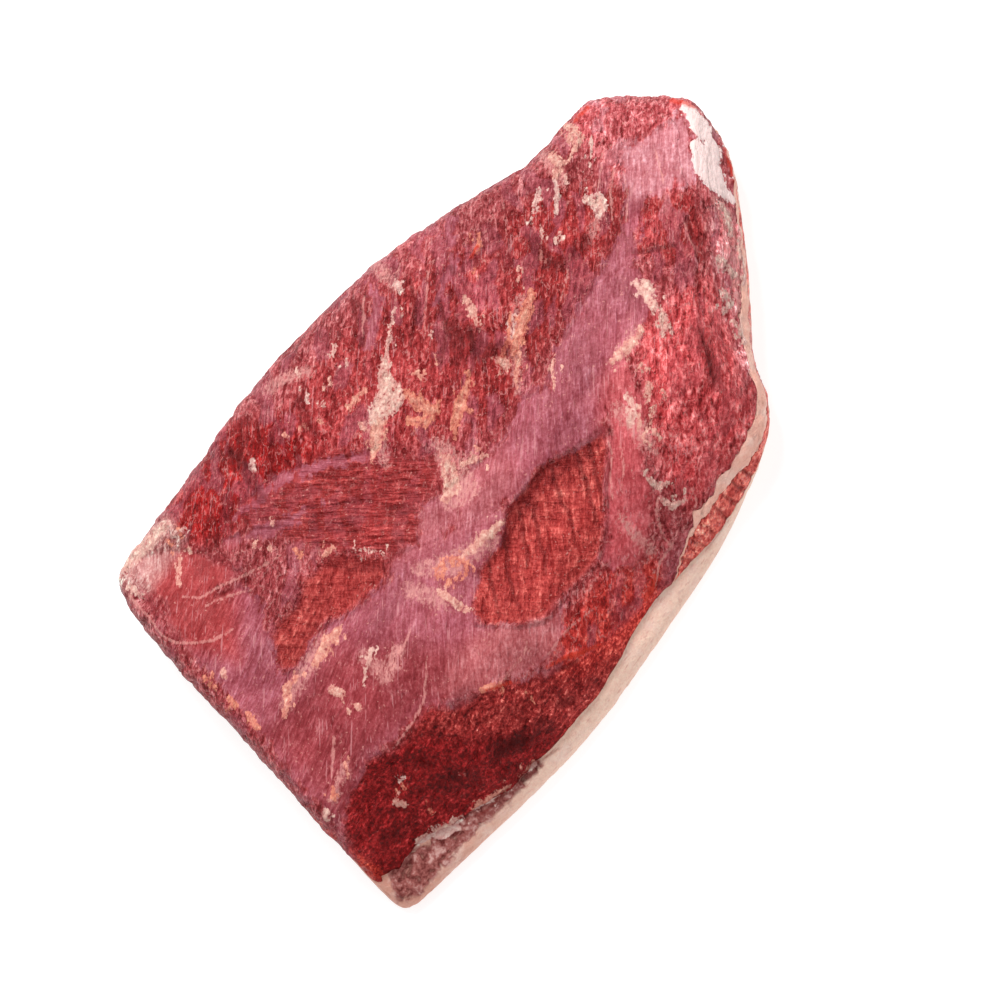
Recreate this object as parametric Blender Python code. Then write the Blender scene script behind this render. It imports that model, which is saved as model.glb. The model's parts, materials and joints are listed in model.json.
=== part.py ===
"""Raw beef brisket lying on its fat cap, lean side up.

Modelled in metres, +Z up. +X runs along the long side, from the cut end to the narrow tip, and -Y
is the side where the fat cap shows. The origin is at the middle of the bounding box's underside.

The plan is a patch between four edge curves. One outer surface covers the whole piece, and curved
sheets divide it into layers: the fat cap at the bottom, then the main muscle. Near the tip a thin
second muscle and a seam of fat lie between the two. All four solids keep a hair's gap.
"""

import bmesh
import bpy
import numpy as np

MM = 0.001
GAP = 0.3 * MM

# Plan: four edge curves, as points in millimetres, corner to corner.
NEAR_EDGE = [(-201, -124), (-149, -129), (-82, -134), (-27, -130), (29, -122), (69, -114), (91, -106),
             (105, -93), (118, -71), (152, -35), (188, 9)]
FAR_EDGE = [(-186, 125), (-151, 126), (-104, 130), (-50, 134), (26, 127), (75, 113), (109, 99), (128, 96),
            (169, 100)]
CUT_EDGE = [(-201, -124), (-202, -97), (-199, -17), (-195, 83), (-186, 125)]
TIP_EDGE = [(188, 9), (197, 28), (201, 50), (185, 78), (169, 100)]
PLAN_LENGTH = 392 * MM
CORNER_POWER = 40

# Heights above the surface that the brisket lies on.
CROWN_HEIGHT = 55 * MM
CUT_END_DROP = 8 * MM
TIP_DROP = 15 * MM
NEAR_DROP = 6 * MM
FAR_DROP = 6 * MM
CUT_END_SLOPE = -60 * MM, -205 * MM
TIP_SLOPE = 60 * MM, 200 * MM
NEAR_SLOPE = -27 * MM, -122 * MM
FAR_SLOPE = 43 * MM, 138 * MM
# The fat cap is thinner by FAT_THINNING beyond the second of these two x.
FAT_THICKNESS = 12 * MM
FAT_THINNING = 3.0 * MM
THINNING_SLOPE = -29 * MM, 28 * MM

# The outer surface from the rim of the top down to the table: rows of inset and height in millimetres.
FAR_ROWS = [(1.2, 20), (0.6, 17), (0.2, 14), (0.0, 11), (0.2, 8), (0.7, 5), (1.6, 2.2), (3.2, 0)]
CUT_ROWS = [(3.2, 16), (2.6, 13.5), (2.1, 11), (1.5, 8), (1.0, 5), (0.4, 2.5), (0.1, 1.0), (0.6, 0)]
TIP_ROWS = [(0.0, 21), (0.2, 18), (0.8, 14.5), (1.8, 11), (3.1, 7.5), (4.6, 4.4), (6.2, 1.8), (8.0, 0)]
# On the near side the rows follow the fat cap: shares of its ledge's width and of its thickness.
NEAR_SHARES = [(1.04, 1.14), (1.0, 0.96), (0.70, 0.94), (0.34, 0.84), (0.08, 0.62), (0.0, 0.36),
               (0.08, 0.13), (0.30, 0)]
ROWS = len(FAR_ROWS)
# The ledge of fat in front of the lean: along the side, on its shelf, at the cut end's corner and near
# the tip, and the stretches of s (-1 at the cut end, 1 at the tip) over which its width and the side's
# form change.
LEDGE = 6 * MM
SHELF_LEDGE = 9.8 * MM
CORNER_LEDGE = 18 * MM
THIN_LEDGE = 2.5 * MM
CORNER_STRETCH = -0.62, -0.85
SHELF_STRETCH = -0.28, -0.20
THINNING_STRETCH = -0.12, 0.08
TIPWARD_STRETCH = 0.02, 0.38
LEDGE_WAVES = (0.05, 19, 0), (0.07, 43, 1)

# How far in from each edge the side has risen to the top, and how square its shoulder is.
NEAR_SHOULDER, NEAR_SQUARENESS = 40 * MM, 1.32
DIAGONAL_SHOULDER, DIAGONAL_SQUARENESS = 30 * MM, 1.15
FAR_SHOULDER, FAR_SQUARENESS = 26 * MM, 2.1
CUT_SHOULDER, CUT_SQUARENESS = 11 * MM, 2.2
TIP_SHOULDER, TIP_SQUARENESS = 28 * MM, 2.0
# How strongly the nearest edge sets the height of the rim that the top comes down to.
RIM_PULL = 3

# The second muscle and the seam of fat above it, near the tip.
# The muscle thins and the seam swells beyond the second x of SWELLING_SLOPE.
POINT_THICKNESS = 11.6 * MM
POINT_THINNING = 2.5 * MM
SEAM_THICKNESS = 4.0 * MM
SEAM_SWELLING = 3.5 * MM
SWELLING_SLOPE = 48 * MM, 92 * MM
LAYER_START = 0 * MM, 36 * MM
LAYER_THINNING = 110 * MM, 185 * MM
TIP_LOSS = 0.35
LAYER_END_Y = 73 * MM, 28 * MM
LAYER_DEPTH = 54 * MM
LAYER_TAPER = 1.6
ENDED = 1.5 * MM

# How flat a mound is on top, and how gently it meets what is round it.
MOUND_FLATNESS, MOUND_FOOT = 1.5, 1.4
# Windows where the silverskin is cut away and the muscle lies lower: centre x, y, half length,
# half width in millimetres, turn in degrees, depth in millimetres.
WINDOWS = {
    "main": (-17, -74, 54, 31, 15, 4.4),
    "cut_end": (-115, -8, 42, 24, 0, 2.8),
    "middle": (-57, 18, 42, 30, -50, 1.8),
    "tip": (135, -5, 30, 15, 70, 2.6),
    "elbow": (67, -89, 30, 16, 35, 2.2),
    "far": (63, 55, 56, 20, 10, 1.6),
}
# Low ribs of muscle under the silverskin, given the same way, with their height.
RIBS = {
    "band": (-19, -37, 165, 16, 12, 2.4),
    "near": (-111, -71, 70, 22, 4, 2.2),
    "far_edge": (-39, 87, 120, 22, -4, 2.0),
    "tip": (156, 35, 34, 20, 30, 1.8),
    "corner": (-164, 63, 36, 24, -30, 1.6),
}
LUMP_SIZE = 34 * MM
LUMP_HEIGHT = 1.4 * MM
SMALL_LUMP_SIZE = 14 * MM
SMALL_LUMP_HEIGHT = 0.7 * MM

# Mesh density. The top's cells crowd towards its edges, and more so where CELL_EVENNESS is low.
CURVE_STEPS = 40
EDGE_STEP = 4
TOP_CELLS = (70, 40)
CELL_EVENNESS = 0.42
# The dividing sheets: cells along x and y, then the least and greatest x and y in millimetres.
BASE_SHEET = (24, 1), (-230, 230, -160, 160)
LAYER_SHEET = (20, 18), (-30, 222, -147, 81)
CUTTER_FLOOR = -12 * MM

LEAN_RED = (0.43, 0.055, 0.055, 1.0)
POINT_RED = (0.46, 0.085, 0.075, 1.0)
FAT_CREAM = (0.78, 0.53, 0.42, 1.0)
SEAM_CREAM = (0.80, 0.58, 0.50, 1.0)
ROUGHNESS = 0.45


def smooth_step(low, high, x):
    """0 below low, 1 above high, with a smooth rise between."""
    q = np.clip((x - low) / (high - low), 0, 1)
    return q * q * (3 - 2 * q)


def blend(first, second, share):
    return first + (second - first) * share


def smooth_curve(points):
    """A dense Catmull-Rom curve through the points, in metres: distances from 0 to 1, and positions."""
    p = np.array(points, float) * MM
    p = np.vstack([2 * p[0] - p[1], p, 2 * p[-1] - p[-2]])
    dense = []
    for before, start, end, after in zip(p, p[1:], p[2:], p[3:]):
        q = np.linspace(0, 1, CURVE_STEPS, endpoint=False)[:, None]
        dense.append(0.5 * (2 * start + (end - before) * q
                            + (2 * before - 5 * start + 4 * end - after) * q ** 2
                            + (3 * start - before - 3 * end + after) * q ** 3))
    dense = np.vstack([*dense, p[-2]])
    length = np.concatenate([[0], np.cumsum(np.linalg.norm(np.diff(dense, axis=0), axis=1))])
    return length / length[-1], dense


CURVES = {name: smooth_curve(points) for name, points in
          (("near", NEAR_EDGE), ("far", FAR_EDGE), ("cut", CUT_EDGE), ("tip", TIP_EDGE))}


def along(name, share):
    """The point at this share of an edge curve's length."""
    shares, points = CURVES[name]
    return np.stack([np.interp(share, shares, points[:, k]) for k in (0, 1)], -1)


def patch(u, v):
    """The plan between the four edge curves, for u and v from 0 to 1."""
    near, far, cut, tip = along("near", u), along("far", u), along("cut", v), along("tip", v)
    corners = [along(edge, share) for edge in ("near", "far") for share in (0.0, 1.0)]
    u, v = u[..., None], v[..., None]
    between_corners = blend(blend(corners[0], corners[1], u), blend(corners[2], corners[3], u), v)
    return blend(near, far, v) + blend(cut, tip, u) - between_corners


def spans(s):
    """The plan's length, and its width at s, in metres."""
    u = (s + 1) / 2
    return PLAN_LENGTH, np.linalg.norm(along("far", u) - along("near", u), axis=-1)


def plan(s, t, near=0.0, far=0.0, cut=0.0, tip=0.0):
    """x and y of s (cut end to tip) and t (near to far), both from -1 to 1, with the corners rounded.

    The last four say how far in each edge is moved, in metres."""
    largest = np.maximum(np.abs(s), np.abs(t))
    rounded = (np.abs(s) ** CORNER_POWER + np.abs(t) ** CORNER_POWER) ** (1 / CORNER_POWER)
    pull = np.where(rounded > 0, largest / np.maximum(rounded, 1e-9), 1)
    length, width = spans(s)
    u = cut / length + (s * pull + 1) / 2 * (1 - (cut + tip) / length)
    v = near / width + (t * pull + 1) / 2 * (1 - (near + far) / width)
    return patch(u, v)


def hashed(i, j, seed):
    """A repeatable value from -1 to 1 for each whole-numbered cell."""
    n = (i * 374761393 + j * 668265263 + seed * 974711) & 0xFFFFFFFF
    n = ((n ^ (n >> 13)) * 1274126177) & 0xFFFFFFFF
    return ((n ^ (n >> 16)) & 0xFFFF) / 0x7FFF - 1


def lumps(x, y, size, seed):
    """Smooth noise from -1 to 1, whose lumps are about this size."""
    x, y = x / size, y / size
    i, j = np.floor(x).astype(np.int64), np.floor(y).astype(np.int64)
    p, q = x - i, y - j
    p, q = p * p * (3 - 2 * p), q * q * (3 - 2 * q)
    low = hashed(i, j, seed) * (1 - p) + hashed(i + 1, j, seed) * p
    high = hashed(i, j + 1, seed) * (1 - p) + hashed(i + 1, j + 1, seed) * p
    return low * (1 - q) + high * q


def mound(x, y, form):
    """The height of a smooth mound with an oval foot."""
    cx, cy, half_length, half_width, turn, height = form
    turn = np.radians(turn)
    dx, dy = x - cx * MM, y - cy * MM
    a = (dx * np.cos(turn) + dy * np.sin(turn)) / (half_length * MM)
    b = (-dx * np.sin(turn) + dy * np.cos(turn)) / (half_width * MM)
    return np.clip(1 - (a * a + b * b) ** MOUND_FLATNESS, 0, 1) ** MOUND_FOOT * height * MM


def crown(x, y):
    """The height of the lean top, before its edges are rounded down."""
    z = CROWN_HEIGHT - CUT_END_DROP * smooth_step(*CUT_END_SLOPE, x) - TIP_DROP * smooth_step(*TIP_SLOPE, x)
    z = z - NEAR_DROP * smooth_step(*NEAR_SLOPE, y) - FAR_DROP * smooth_step(*FAR_SLOPE, y)
    for form in RIBS.values():
        z = z + mound(x, y, form)
    for form in WINDOWS.values():
        z = z - mound(x, y, form)
    z = z + LUMP_HEIGHT * lumps(x, y, LUMP_SIZE, 3)
    return z + SMALL_LUMP_HEIGHT * lumps(x, y, SMALL_LUMP_SIZE, 8)


def shoulder(distance, reach, squareness):
    """The share of the full height that the side has at this distance in from the edge."""
    q = np.clip(distance / reach, 0, 1)
    return (1 - (1 - q) ** squareness) ** (1 / squareness)


def towards_tip(s):
    """0 along the near side's straight part, 1 where it has turned towards the tip."""
    return smooth_step(*TIPWARD_STRETCH, s)


def fat_thickness(x):
    return FAT_THICKNESS - FAT_THINNING * smooth_step(*THINNING_SLOPE, x)


def ledge(s):
    """How far the lean is set back from the fat cap's near edge: most at the corner of the cut end."""
    wave = 1 + sum(share * np.sin(pace * s + start) for share, pace, start in LEDGE_WAVES)
    wide = blend(LEDGE, CORNER_LEDGE, smooth_step(*CORNER_STRETCH, s))
    wide = blend(wide, SHELF_LEDGE, smooth_step(*SHELF_STRETCH, s))
    return blend(wide, THIN_LEDGE, smooth_step(*THINNING_STRETCH, s)) * wave


def row_value(rows, column, row):
    """The inset or height of this row number, which may lie between two rows."""
    return np.interp(row, np.arange(ROWS), [values[column] for values in rows])


def outside(s, t, row):
    """x and y, and z, of the outer surface: row 0 is the top and its rim, the last row is on the table."""
    tipward = towards_tip(s)
    thickness = fat_thickness(plan(s, t)[:, 0])
    far, cut, tip = (row_value(rows, 0, row) * MM for rows in (FAR_ROWS, CUT_ROWS, TIP_ROWS))
    heights = [row_value(rows, 1, row) * MM for rows in (FAR_ROWS, CUT_ROWS, TIP_ROWS)]
    near = blend(row_value(NEAR_SHARES, 0, row) * ledge(s), tip, tipward)
    near_height = blend(row_value(NEAR_SHARES, 1, row) * thickness, heights[-1], tipward)
    xy = plan(s, t, near, far, cut, tip)

    length, width = spans(s)
    from_near, from_far = (t + 1) / 2 * width, (1 - t) / 2 * width
    from_cut, from_tip = (s + 1) / 2 * length, (1 - s) / 2 * length
    weights = [(distance + MM) ** -RIM_PULL for distance in (from_near, from_far, from_cut, from_tip)]
    rim = sum(weight * height for weight, height in zip(weights, [near_height, *heights])) / sum(weights)
    rise = (shoulder(from_near, blend(NEAR_SHOULDER, DIAGONAL_SHOULDER, tipward),
                     blend(NEAR_SQUARENESS, DIAGONAL_SQUARENESS, tipward))
            * shoulder(from_far, FAR_SHOULDER, FAR_SQUARENESS)
            * shoulder(from_cut, CUT_SHOULDER, CUT_SQUARENESS)
            * shoulder(from_tip, TIP_SHOULDER, TIP_SQUARENESS))
    return xy, rim + (crown(xy[:, 0], xy[:, 1]) - rim) * rise


def crowded(q):
    """Moves evenly spaced values towards -1 and 1, where the sides are steep."""
    return CELL_EVENNESS * q + (1 - CELL_EVENNESS) * np.sin(q * np.pi / 2)


def new_object(name, bm, colour, collection):
    """A named object with its own plain material, from a bmesh that is then freed."""
    mesh = bpy.data.meshes.new(name)
    bm.to_mesh(mesh)
    bm.free()
    mesh.shade_smooth()
    material = bpy.data.materials.new(name + "_material")
    material.use_nodes = True
    shader = material.node_tree.nodes["Principled BSDF"]
    shader.inputs["Base Color"].default_value = colour
    shader.inputs["Roughness"].default_value = ROUGHNESS
    shader.inputs["Metallic"].default_value = 0.0
    material.diffuse_color = colour
    mesh.materials.append(material)
    obj = bpy.data.objects.new(name, mesh)
    collection.objects.link(obj)
    return obj


def place(verts, xy, z):
    """Moves each vertex to its point of the plan and its height."""
    for vert, (x, y), height in zip(verts, xy, z):
        vert.co = (x, y, height)


def open_edges(bm):
    return [edge for edge in bm.edges if edge.is_boundary]


def add_row(bm, height):
    """Extrudes the open loop by one row of faces and sets the new vertices' z."""
    for item in bmesh.ops.extrude_edge_only(bm, edges=open_edges(bm))["geom"]:
        if isinstance(item, bmesh.types.BMVert):
            item.co.z = height


def close_underside(bm):
    """Fills the open level loop with one flat face, cut into triangles."""
    made = bmesh.ops.contextual_create(bm, geom=open_edges(bm))["faces"]
    bmesh.ops.triangulate(bm, faces=made)
    bmesh.ops.recalc_face_normals(bm, faces=bm.faces)


def make_whole(collection):
    """The outer surface of the whole piece: a grid for the top, then rows of faces down to the table."""
    bm = bmesh.new()
    bmesh.ops.create_grid(bm, x_segments=TOP_CELLS[0], y_segments=TOP_CELLS[1], size=1)
    for row in range(1, ROWS):
        add_row(bm, row)
    flat = np.array([vert.co for vert in bm.verts])
    place(bm.verts, *outside(crowded(flat[:, 0]), crowded(flat[:, 1]), flat[:, 2]))
    close_underside(bm)
    return new_object("whole", bm, LEAN_RED, collection)


def from_layered_edge(x, y):
    """The distance from each point to the near edge and the tip, where the layers come out."""
    edge = np.vstack([CURVES["near"][1], CURVES["tip"][1]])[::EDGE_STEP]
    return np.sqrt((x[:, None] - edge[:, 0]) ** 2 + (y[:, None] - edge[:, 1]) ** 2).min(axis=1)


def layer_top(x, y, layers):
    """The height over the fat cap of one layer, or of both: below zero where they have ended."""
    swollen = smooth_step(*SWELLING_SLOPE, x)
    thickness = POINT_THICKNESS - POINT_THINNING * swollen
    thickness = thickness + (layers - 1) * (SEAM_THICKNESS + SEAM_SWELLING * swollen)
    grown = smooth_step(*LAYER_START, x) * smooth_step(*LAYER_END_Y, y)
    grown = grown * (1 - TIP_LOSS * smooth_step(*LAYER_THINNING, x))
    inwards = 1 - (from_layered_edge(x, y) / LAYER_DEPTH) ** LAYER_TAPER
    return np.maximum(thickness * grown * inwards, -ENDED) - ENDED * (1 - grown)


def make_cutter(name, cells, corners, layers, lift, collection):
    """A block below a curved sheet: the top of the fat cap, or of one or two layers on it near the tip."""
    bm = bmesh.new()
    bmesh.ops.create_grid(bm, x_segments=cells[0], y_segments=cells[1], size=1)
    flat = np.array([vert.co for vert in bm.verts])
    x_low, x_high, y_low, y_high = (value * MM for value in corners)
    x = blend(x_low, x_high, (flat[:, 0] + 1) / 2)
    y = blend(y_low, y_high, (flat[:, 1] + 1) / 2)
    z = fat_thickness(x) + lift
    if layers:
        z = z + layer_top(x, y, layers)
    place(bm.verts, np.stack([x, y], axis=1), z)
    bmesh.ops.triangulate(bm, faces=bm.faces)
    add_row(bm, CUTTER_FLOOR)
    close_underside(bm)
    cutter = new_object(name, bm, FAT_CREAM, collection)
    cutter.hide_render = True
    cutter.display_type = "WIRE"
    return cutter


def carve(source, name, colour, collection, *steps):
    """A new object made from a copy of source by Boolean steps, each (operation, cutter)."""
    obj = source.copy()
    obj.data = source.data.copy()
    obj.name = obj.data.name = name
    collection.objects.link(obj)
    for operation, cutter in steps:
        modifier = obj.modifiers.new(cutter.name, "BOOLEAN")
        modifier.operation = operation
        modifier.object = cutter
        modifier.solver = "MANIFOLD"
    obj.data.materials.clear()
    material = source.data.materials[0].copy()
    material.name = name + "_material"
    material.diffuse_color = colour
    material.node_tree.nodes["Principled BSDF"].inputs["Base Color"].default_value = colour
    obj.data.materials.append(material)
    return obj


def main():
    for obj in list(bpy.data.objects):
        bpy.data.objects.remove(obj)
    parts = bpy.data.collections.new("raw_beef_brisket")
    cutters = bpy.data.collections.new("cutters")
    for collection in (parts, cutters):
        bpy.context.scene.collection.children.link(collection)

    whole = make_whole(cutters)
    fat = make_cutter("below_fat_top", *BASE_SHEET, 0, 0, cutters)
    above_fat = make_cutter("below_gap_on_fat", *BASE_SHEET, 0, GAP, cutters)
    point = make_cutter("below_point_top", *LAYER_SHEET, 1, GAP, cutters)
    above_point = make_cutter("below_gap_on_point", *LAYER_SHEET, 1, 2 * GAP, cutters)
    seam = make_cutter("below_seam_top", *LAYER_SHEET, 2, 2 * GAP, cutters)
    above_seam = make_cutter("below_gap_on_seam", *LAYER_SHEET, 2, 3 * GAP, cutters)

    carve(whole, "fat_cap", FAT_CREAM, parts, ("INTERSECT", fat))
    carve(whole, "lean_flat", LEAN_RED, parts, ("DIFFERENCE", above_fat), ("DIFFERENCE", above_seam))
    carve(whole, "fat_seam", SEAM_CREAM, parts, ("DIFFERENCE", above_fat), ("INTERSECT", seam),
          ("DIFFERENCE", above_point))
    carve(whole, "lean_point", POINT_RED, parts, ("DIFFERENCE", above_fat), ("INTERSECT", point))
    whole.hide_render = True
    whole.display_type = "WIRE"


main()
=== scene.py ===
import json
import math

import bmesh
import bpy
import numpy as np
from mathutils import Matrix, Vector
from mathutils.kdtree import KDTree

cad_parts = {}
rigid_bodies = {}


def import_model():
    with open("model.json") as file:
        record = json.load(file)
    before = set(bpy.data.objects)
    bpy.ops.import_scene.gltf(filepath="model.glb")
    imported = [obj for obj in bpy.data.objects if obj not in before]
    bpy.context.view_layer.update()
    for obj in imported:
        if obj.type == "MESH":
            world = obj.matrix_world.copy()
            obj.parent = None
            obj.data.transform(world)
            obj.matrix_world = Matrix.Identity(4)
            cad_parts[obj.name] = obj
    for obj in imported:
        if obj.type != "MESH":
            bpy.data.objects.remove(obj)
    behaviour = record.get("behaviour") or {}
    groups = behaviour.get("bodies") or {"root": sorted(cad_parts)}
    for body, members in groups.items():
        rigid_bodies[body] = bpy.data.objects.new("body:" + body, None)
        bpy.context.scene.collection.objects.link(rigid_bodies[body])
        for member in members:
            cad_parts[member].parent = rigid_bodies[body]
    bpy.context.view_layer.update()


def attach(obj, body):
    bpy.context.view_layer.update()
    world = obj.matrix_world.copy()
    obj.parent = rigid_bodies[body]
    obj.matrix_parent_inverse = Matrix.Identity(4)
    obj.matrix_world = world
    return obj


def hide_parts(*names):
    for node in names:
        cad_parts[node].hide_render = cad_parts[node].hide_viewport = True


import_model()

MM = 0.001
GAP = 0.3 * MM

# The form, as in the CAD source: lengths in metres, edge points in millimetres.
NEAR_EDGE = [(-201, -124), (-149, -129), (-82, -134), (-27, -130), (29, -122), (69, -114), (91, -106),
             (105, -93), (118, -71), (152, -35), (188, 9)]
FAR_EDGE = [(-186, 125), (-151, 126), (-104, 130), (-50, 134), (26, 127), (75, 113), (109, 99), (128, 96),
            (169, 100)]
CUT_EDGE = [(-201, -124), (-202, -97), (-199, -17), (-195, 83), (-186, 125)]
TIP_EDGE = [(188, 9), (197, 28), (201, 50), (185, 78), (169, 100)]
PLAN_LENGTH = 392 * MM
CORNER_POWER = 40
CROWN_HEIGHT = 55 * MM
CUT_END_DROP = 8 * MM
TIP_DROP = 15 * MM
NEAR_DROP = 6 * MM
FAR_DROP = 6 * MM
CUT_END_SLOPE = -60 * MM, -205 * MM
TIP_SLOPE = 60 * MM, 200 * MM
NEAR_SLOPE = -27 * MM, -122 * MM
FAR_SLOPE = 43 * MM, 138 * MM
FAT_THICKNESS = 12 * MM
FAT_THINNING = 3.0 * MM
THINNING_SLOPE = -29 * MM, 28 * MM
FAR_ROWS = [(1.2, 20), (0.6, 17), (0.2, 14), (0.0, 11), (0.2, 8), (0.7, 5), (1.6, 2.2), (3.2, 0)]
CUT_ROWS = [(3.2, 16), (2.6, 13.5), (2.1, 11), (1.5, 8), (1.0, 5), (0.4, 2.5), (0.1, 1.0), (0.6, 0)]
TIP_ROWS = [(0.0, 21), (0.2, 18), (0.8, 14.5), (1.8, 11), (3.1, 7.5), (4.6, 4.4), (6.2, 1.8), (8.0, 0)]
NEAR_SHARES = [(1.04, 1.14), (1.0, 0.96), (0.70, 0.94), (0.34, 0.84), (0.08, 0.62), (0.0, 0.36),
               (0.08, 0.13), (0.30, 0)]
ROWS = len(FAR_ROWS)
LEDGE = 6 * MM
SHELF_LEDGE = 9.8 * MM
CORNER_LEDGE = 18 * MM
THIN_LEDGE = 2.5 * MM
CORNER_STRETCH = -0.62, -0.85
SHELF_STRETCH = -0.28, -0.20
THINNING_STRETCH = -0.12, 0.08
TIPWARD_STRETCH = 0.02, 0.38
# Waves of the ledge along the near side: share of its width, pace and start.
LEDGE_WAVES = (0.05, 19, 0), (0.07, 43, 1)
NEAR_SHOULDER, NEAR_SQUARENESS = 40 * MM, 1.32
DIAGONAL_SHOULDER, DIAGONAL_SQUARENESS = 30 * MM, 1.15
FAR_SHOULDER, FAR_SQUARENESS = 26 * MM, 2.1
CUT_SHOULDER, CUT_SQUARENESS = 11 * MM, 2.2
TIP_SHOULDER, TIP_SQUARENESS = 28 * MM, 2.0
RIM_PULL = 3
POINT_THICKNESS = 11.6 * MM
POINT_THINNING = 2.5 * MM
SEAM_THICKNESS = 4.0 * MM
SEAM_SWELLING = 3.5 * MM
SWELLING_SLOPE = 48 * MM, 92 * MM
LAYER_START = 0 * MM, 36 * MM
LAYER_THINNING = 110 * MM, 185 * MM
TIP_LOSS = 0.35
LAYER_END_Y = 73 * MM, 28 * MM
LAYER_DEPTH = 54 * MM
LAYER_TAPER = 1.6
ENDED = 1.5 * MM
WINDOWS = [(-17, -74, 54, 31, 15, 4.4), (-115, -8, 42, 24, 0, 2.8), (-57, 18, 42, 30, -50, 1.8),
           (135, -5, 30, 15, 70, 2.6), (67, -89, 30, 16, 35, 2.2), (63, 55, 56, 20, 10, 1.6)]
RIBS = [(-19, -37, 165, 16, 12, 2.4), (-111, -71, 70, 22, 4, 2.2), (-39, 87, 120, 22, -4, 2.0),
        (156, 35, 34, 20, 30, 1.8), (-164, 63, 36, 24, -30, 1.6)]

TOP_CELLS = (330, 220)
SIDE_STEPS = 2
BASE_SHEET = (230, 6), (-230, 230, -160, 160)
LAYER_SHEET = (100, 72), (-30, 222, -147, 81)
CUTTER_FLOOR = -12 * MM
# Where the seam of fat is thicker or thinner than its mean: x, and the difference, in millimetres.
SEAM_SWELLS = [(20, -1.5), (33, -2.4), (38, 2.4), (42, 0), (52, -1.5), (58, 1.6), (61, 1.4), (66, -1.2),
               (76, 0.6), (90, 0)]


def smooth_step(low, high, x):
    q = np.clip((x - low) / (high - low), 0, 1)
    return q * q * (3 - 2 * q)


def blend(first, second, share):
    return first + (second - first) * share


def smooth_curve(points):
    p = np.array(points, float) * MM
    p = np.vstack([2 * p[0] - p[1], p, 2 * p[-1] - p[-2]])
    dense = []
    for before, start, end, after in zip(p, p[1:], p[2:], p[3:]):
        q = np.linspace(0, 1, 40, endpoint=False)[:, None]
        dense.append(0.5 * (2 * start + (end - before) * q
                            + (2 * before - 5 * start + 4 * end - after) * q ** 2
                            + (3 * start - before - 3 * end + after) * q ** 3))
    dense = np.vstack([*dense, p[-2]])
    length = np.concatenate([[0], np.cumsum(np.linalg.norm(np.diff(dense, axis=0), axis=1))])
    return length / length[-1], dense


CURVES = {name: smooth_curve(points) for name, points in
          (("near", NEAR_EDGE), ("far", FAR_EDGE), ("cut", CUT_EDGE), ("tip", TIP_EDGE))}


def along(name, share):
    shares, points = CURVES[name]
    return np.stack([np.interp(share, shares, points[:, k]) for k in (0, 1)], -1)


def patch(u, v):
    near, far, cut, tip = along("near", u), along("far", u), along("cut", v), along("tip", v)
    corners = [along(edge, share) for edge in ("near", "far") for share in (0.0, 1.0)]
    u, v = u[..., None], v[..., None]
    between_corners = blend(blend(corners[0], corners[1], u), blend(corners[2], corners[3], u), v)
    return blend(near, far, v) + blend(cut, tip, u) - between_corners


def spans(s):
    u = (s + 1) / 2
    return PLAN_LENGTH, np.linalg.norm(along("far", u) - along("near", u), axis=-1)


def plan(s, t, near=0.0, far=0.0, cut=0.0, tip=0.0):
    largest = np.maximum(np.abs(s), np.abs(t))
    rounded = (np.abs(s) ** CORNER_POWER + np.abs(t) ** CORNER_POWER) ** (1 / CORNER_POWER)
    pull = np.where(rounded > 0, largest / np.maximum(rounded, 1e-9), 1)
    length, width = spans(s)
    u = cut / length + (s * pull + 1) / 2 * (1 - (cut + tip) / length)
    v = near / width + (t * pull + 1) / 2 * (1 - (near + far) / width)
    return patch(u, v)


def hashed(i, j, seed):
    n = (i * 374761393 + j * 668265263 + seed * 974711) & 0xFFFFFFFF
    n = ((n ^ (n >> 13)) * 1274126177) & 0xFFFFFFFF
    return ((n ^ (n >> 16)) & 0xFFFF) / 0x7FFF - 1


def lumps(x, y, size, seed):
    x, y = x / size, y / size
    i, j = np.floor(x).astype(np.int64), np.floor(y).astype(np.int64)
    p, q = x - i, y - j
    p, q = p * p * (3 - 2 * p), q * q * (3 - 2 * q)
    low = hashed(i, j, seed) * (1 - p) + hashed(i + 1, j, seed) * p
    high = hashed(i, j + 1, seed) * (1 - p) + hashed(i + 1, j + 1, seed) * p
    return low * (1 - q) + high * q


def cells(x, y, seed):
    """Cells about 1 across: how far inside its cell a point is, the cell's own value, and a slope."""
    i, j = np.floor(x).astype(np.int64), np.floor(y).astype(np.int64)
    nearest, second = np.full(len(x), 9.0), np.full(len(x), 9.0)
    value, slope = np.zeros(len(x)), np.zeros(len(x))
    for di in (-1, 0, 1):
        for dj in (-1, 0, 1):
            ci, cj = i + di, j + dj
            dx = x - ci - 0.5 - 0.45 * hashed(ci, cj, seed)
            dy = y - cj - 0.5 - 0.45 * hashed(ci, cj, seed + 1)
            distance = np.hypot(dx, dy)
            closer = distance < nearest
            second = np.where(closer, nearest, np.minimum(second, distance))
            nearest = np.minimum(nearest, distance)
            value = np.where(closer, hashed(ci, cj, seed + 2), value)
            slope = np.where(closer, dx * hashed(ci, cj, seed + 3) + dy * hashed(ci, cj, seed + 4), slope)
    return second - nearest, value, slope


def mound(x, y, form):
    cx, cy, half_length, half_width, turn, height = form
    turn = np.radians(turn)
    dx, dy = x - cx * MM, y - cy * MM
    a = (dx * np.cos(turn) + dy * np.sin(turn)) / (half_length * MM)
    b = (-dx * np.sin(turn) + dy * np.cos(turn)) / (half_width * MM)
    return np.clip(1 - (a * a + b * b) ** 1.5, 0, 1) ** 1.4 * height * MM


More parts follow.
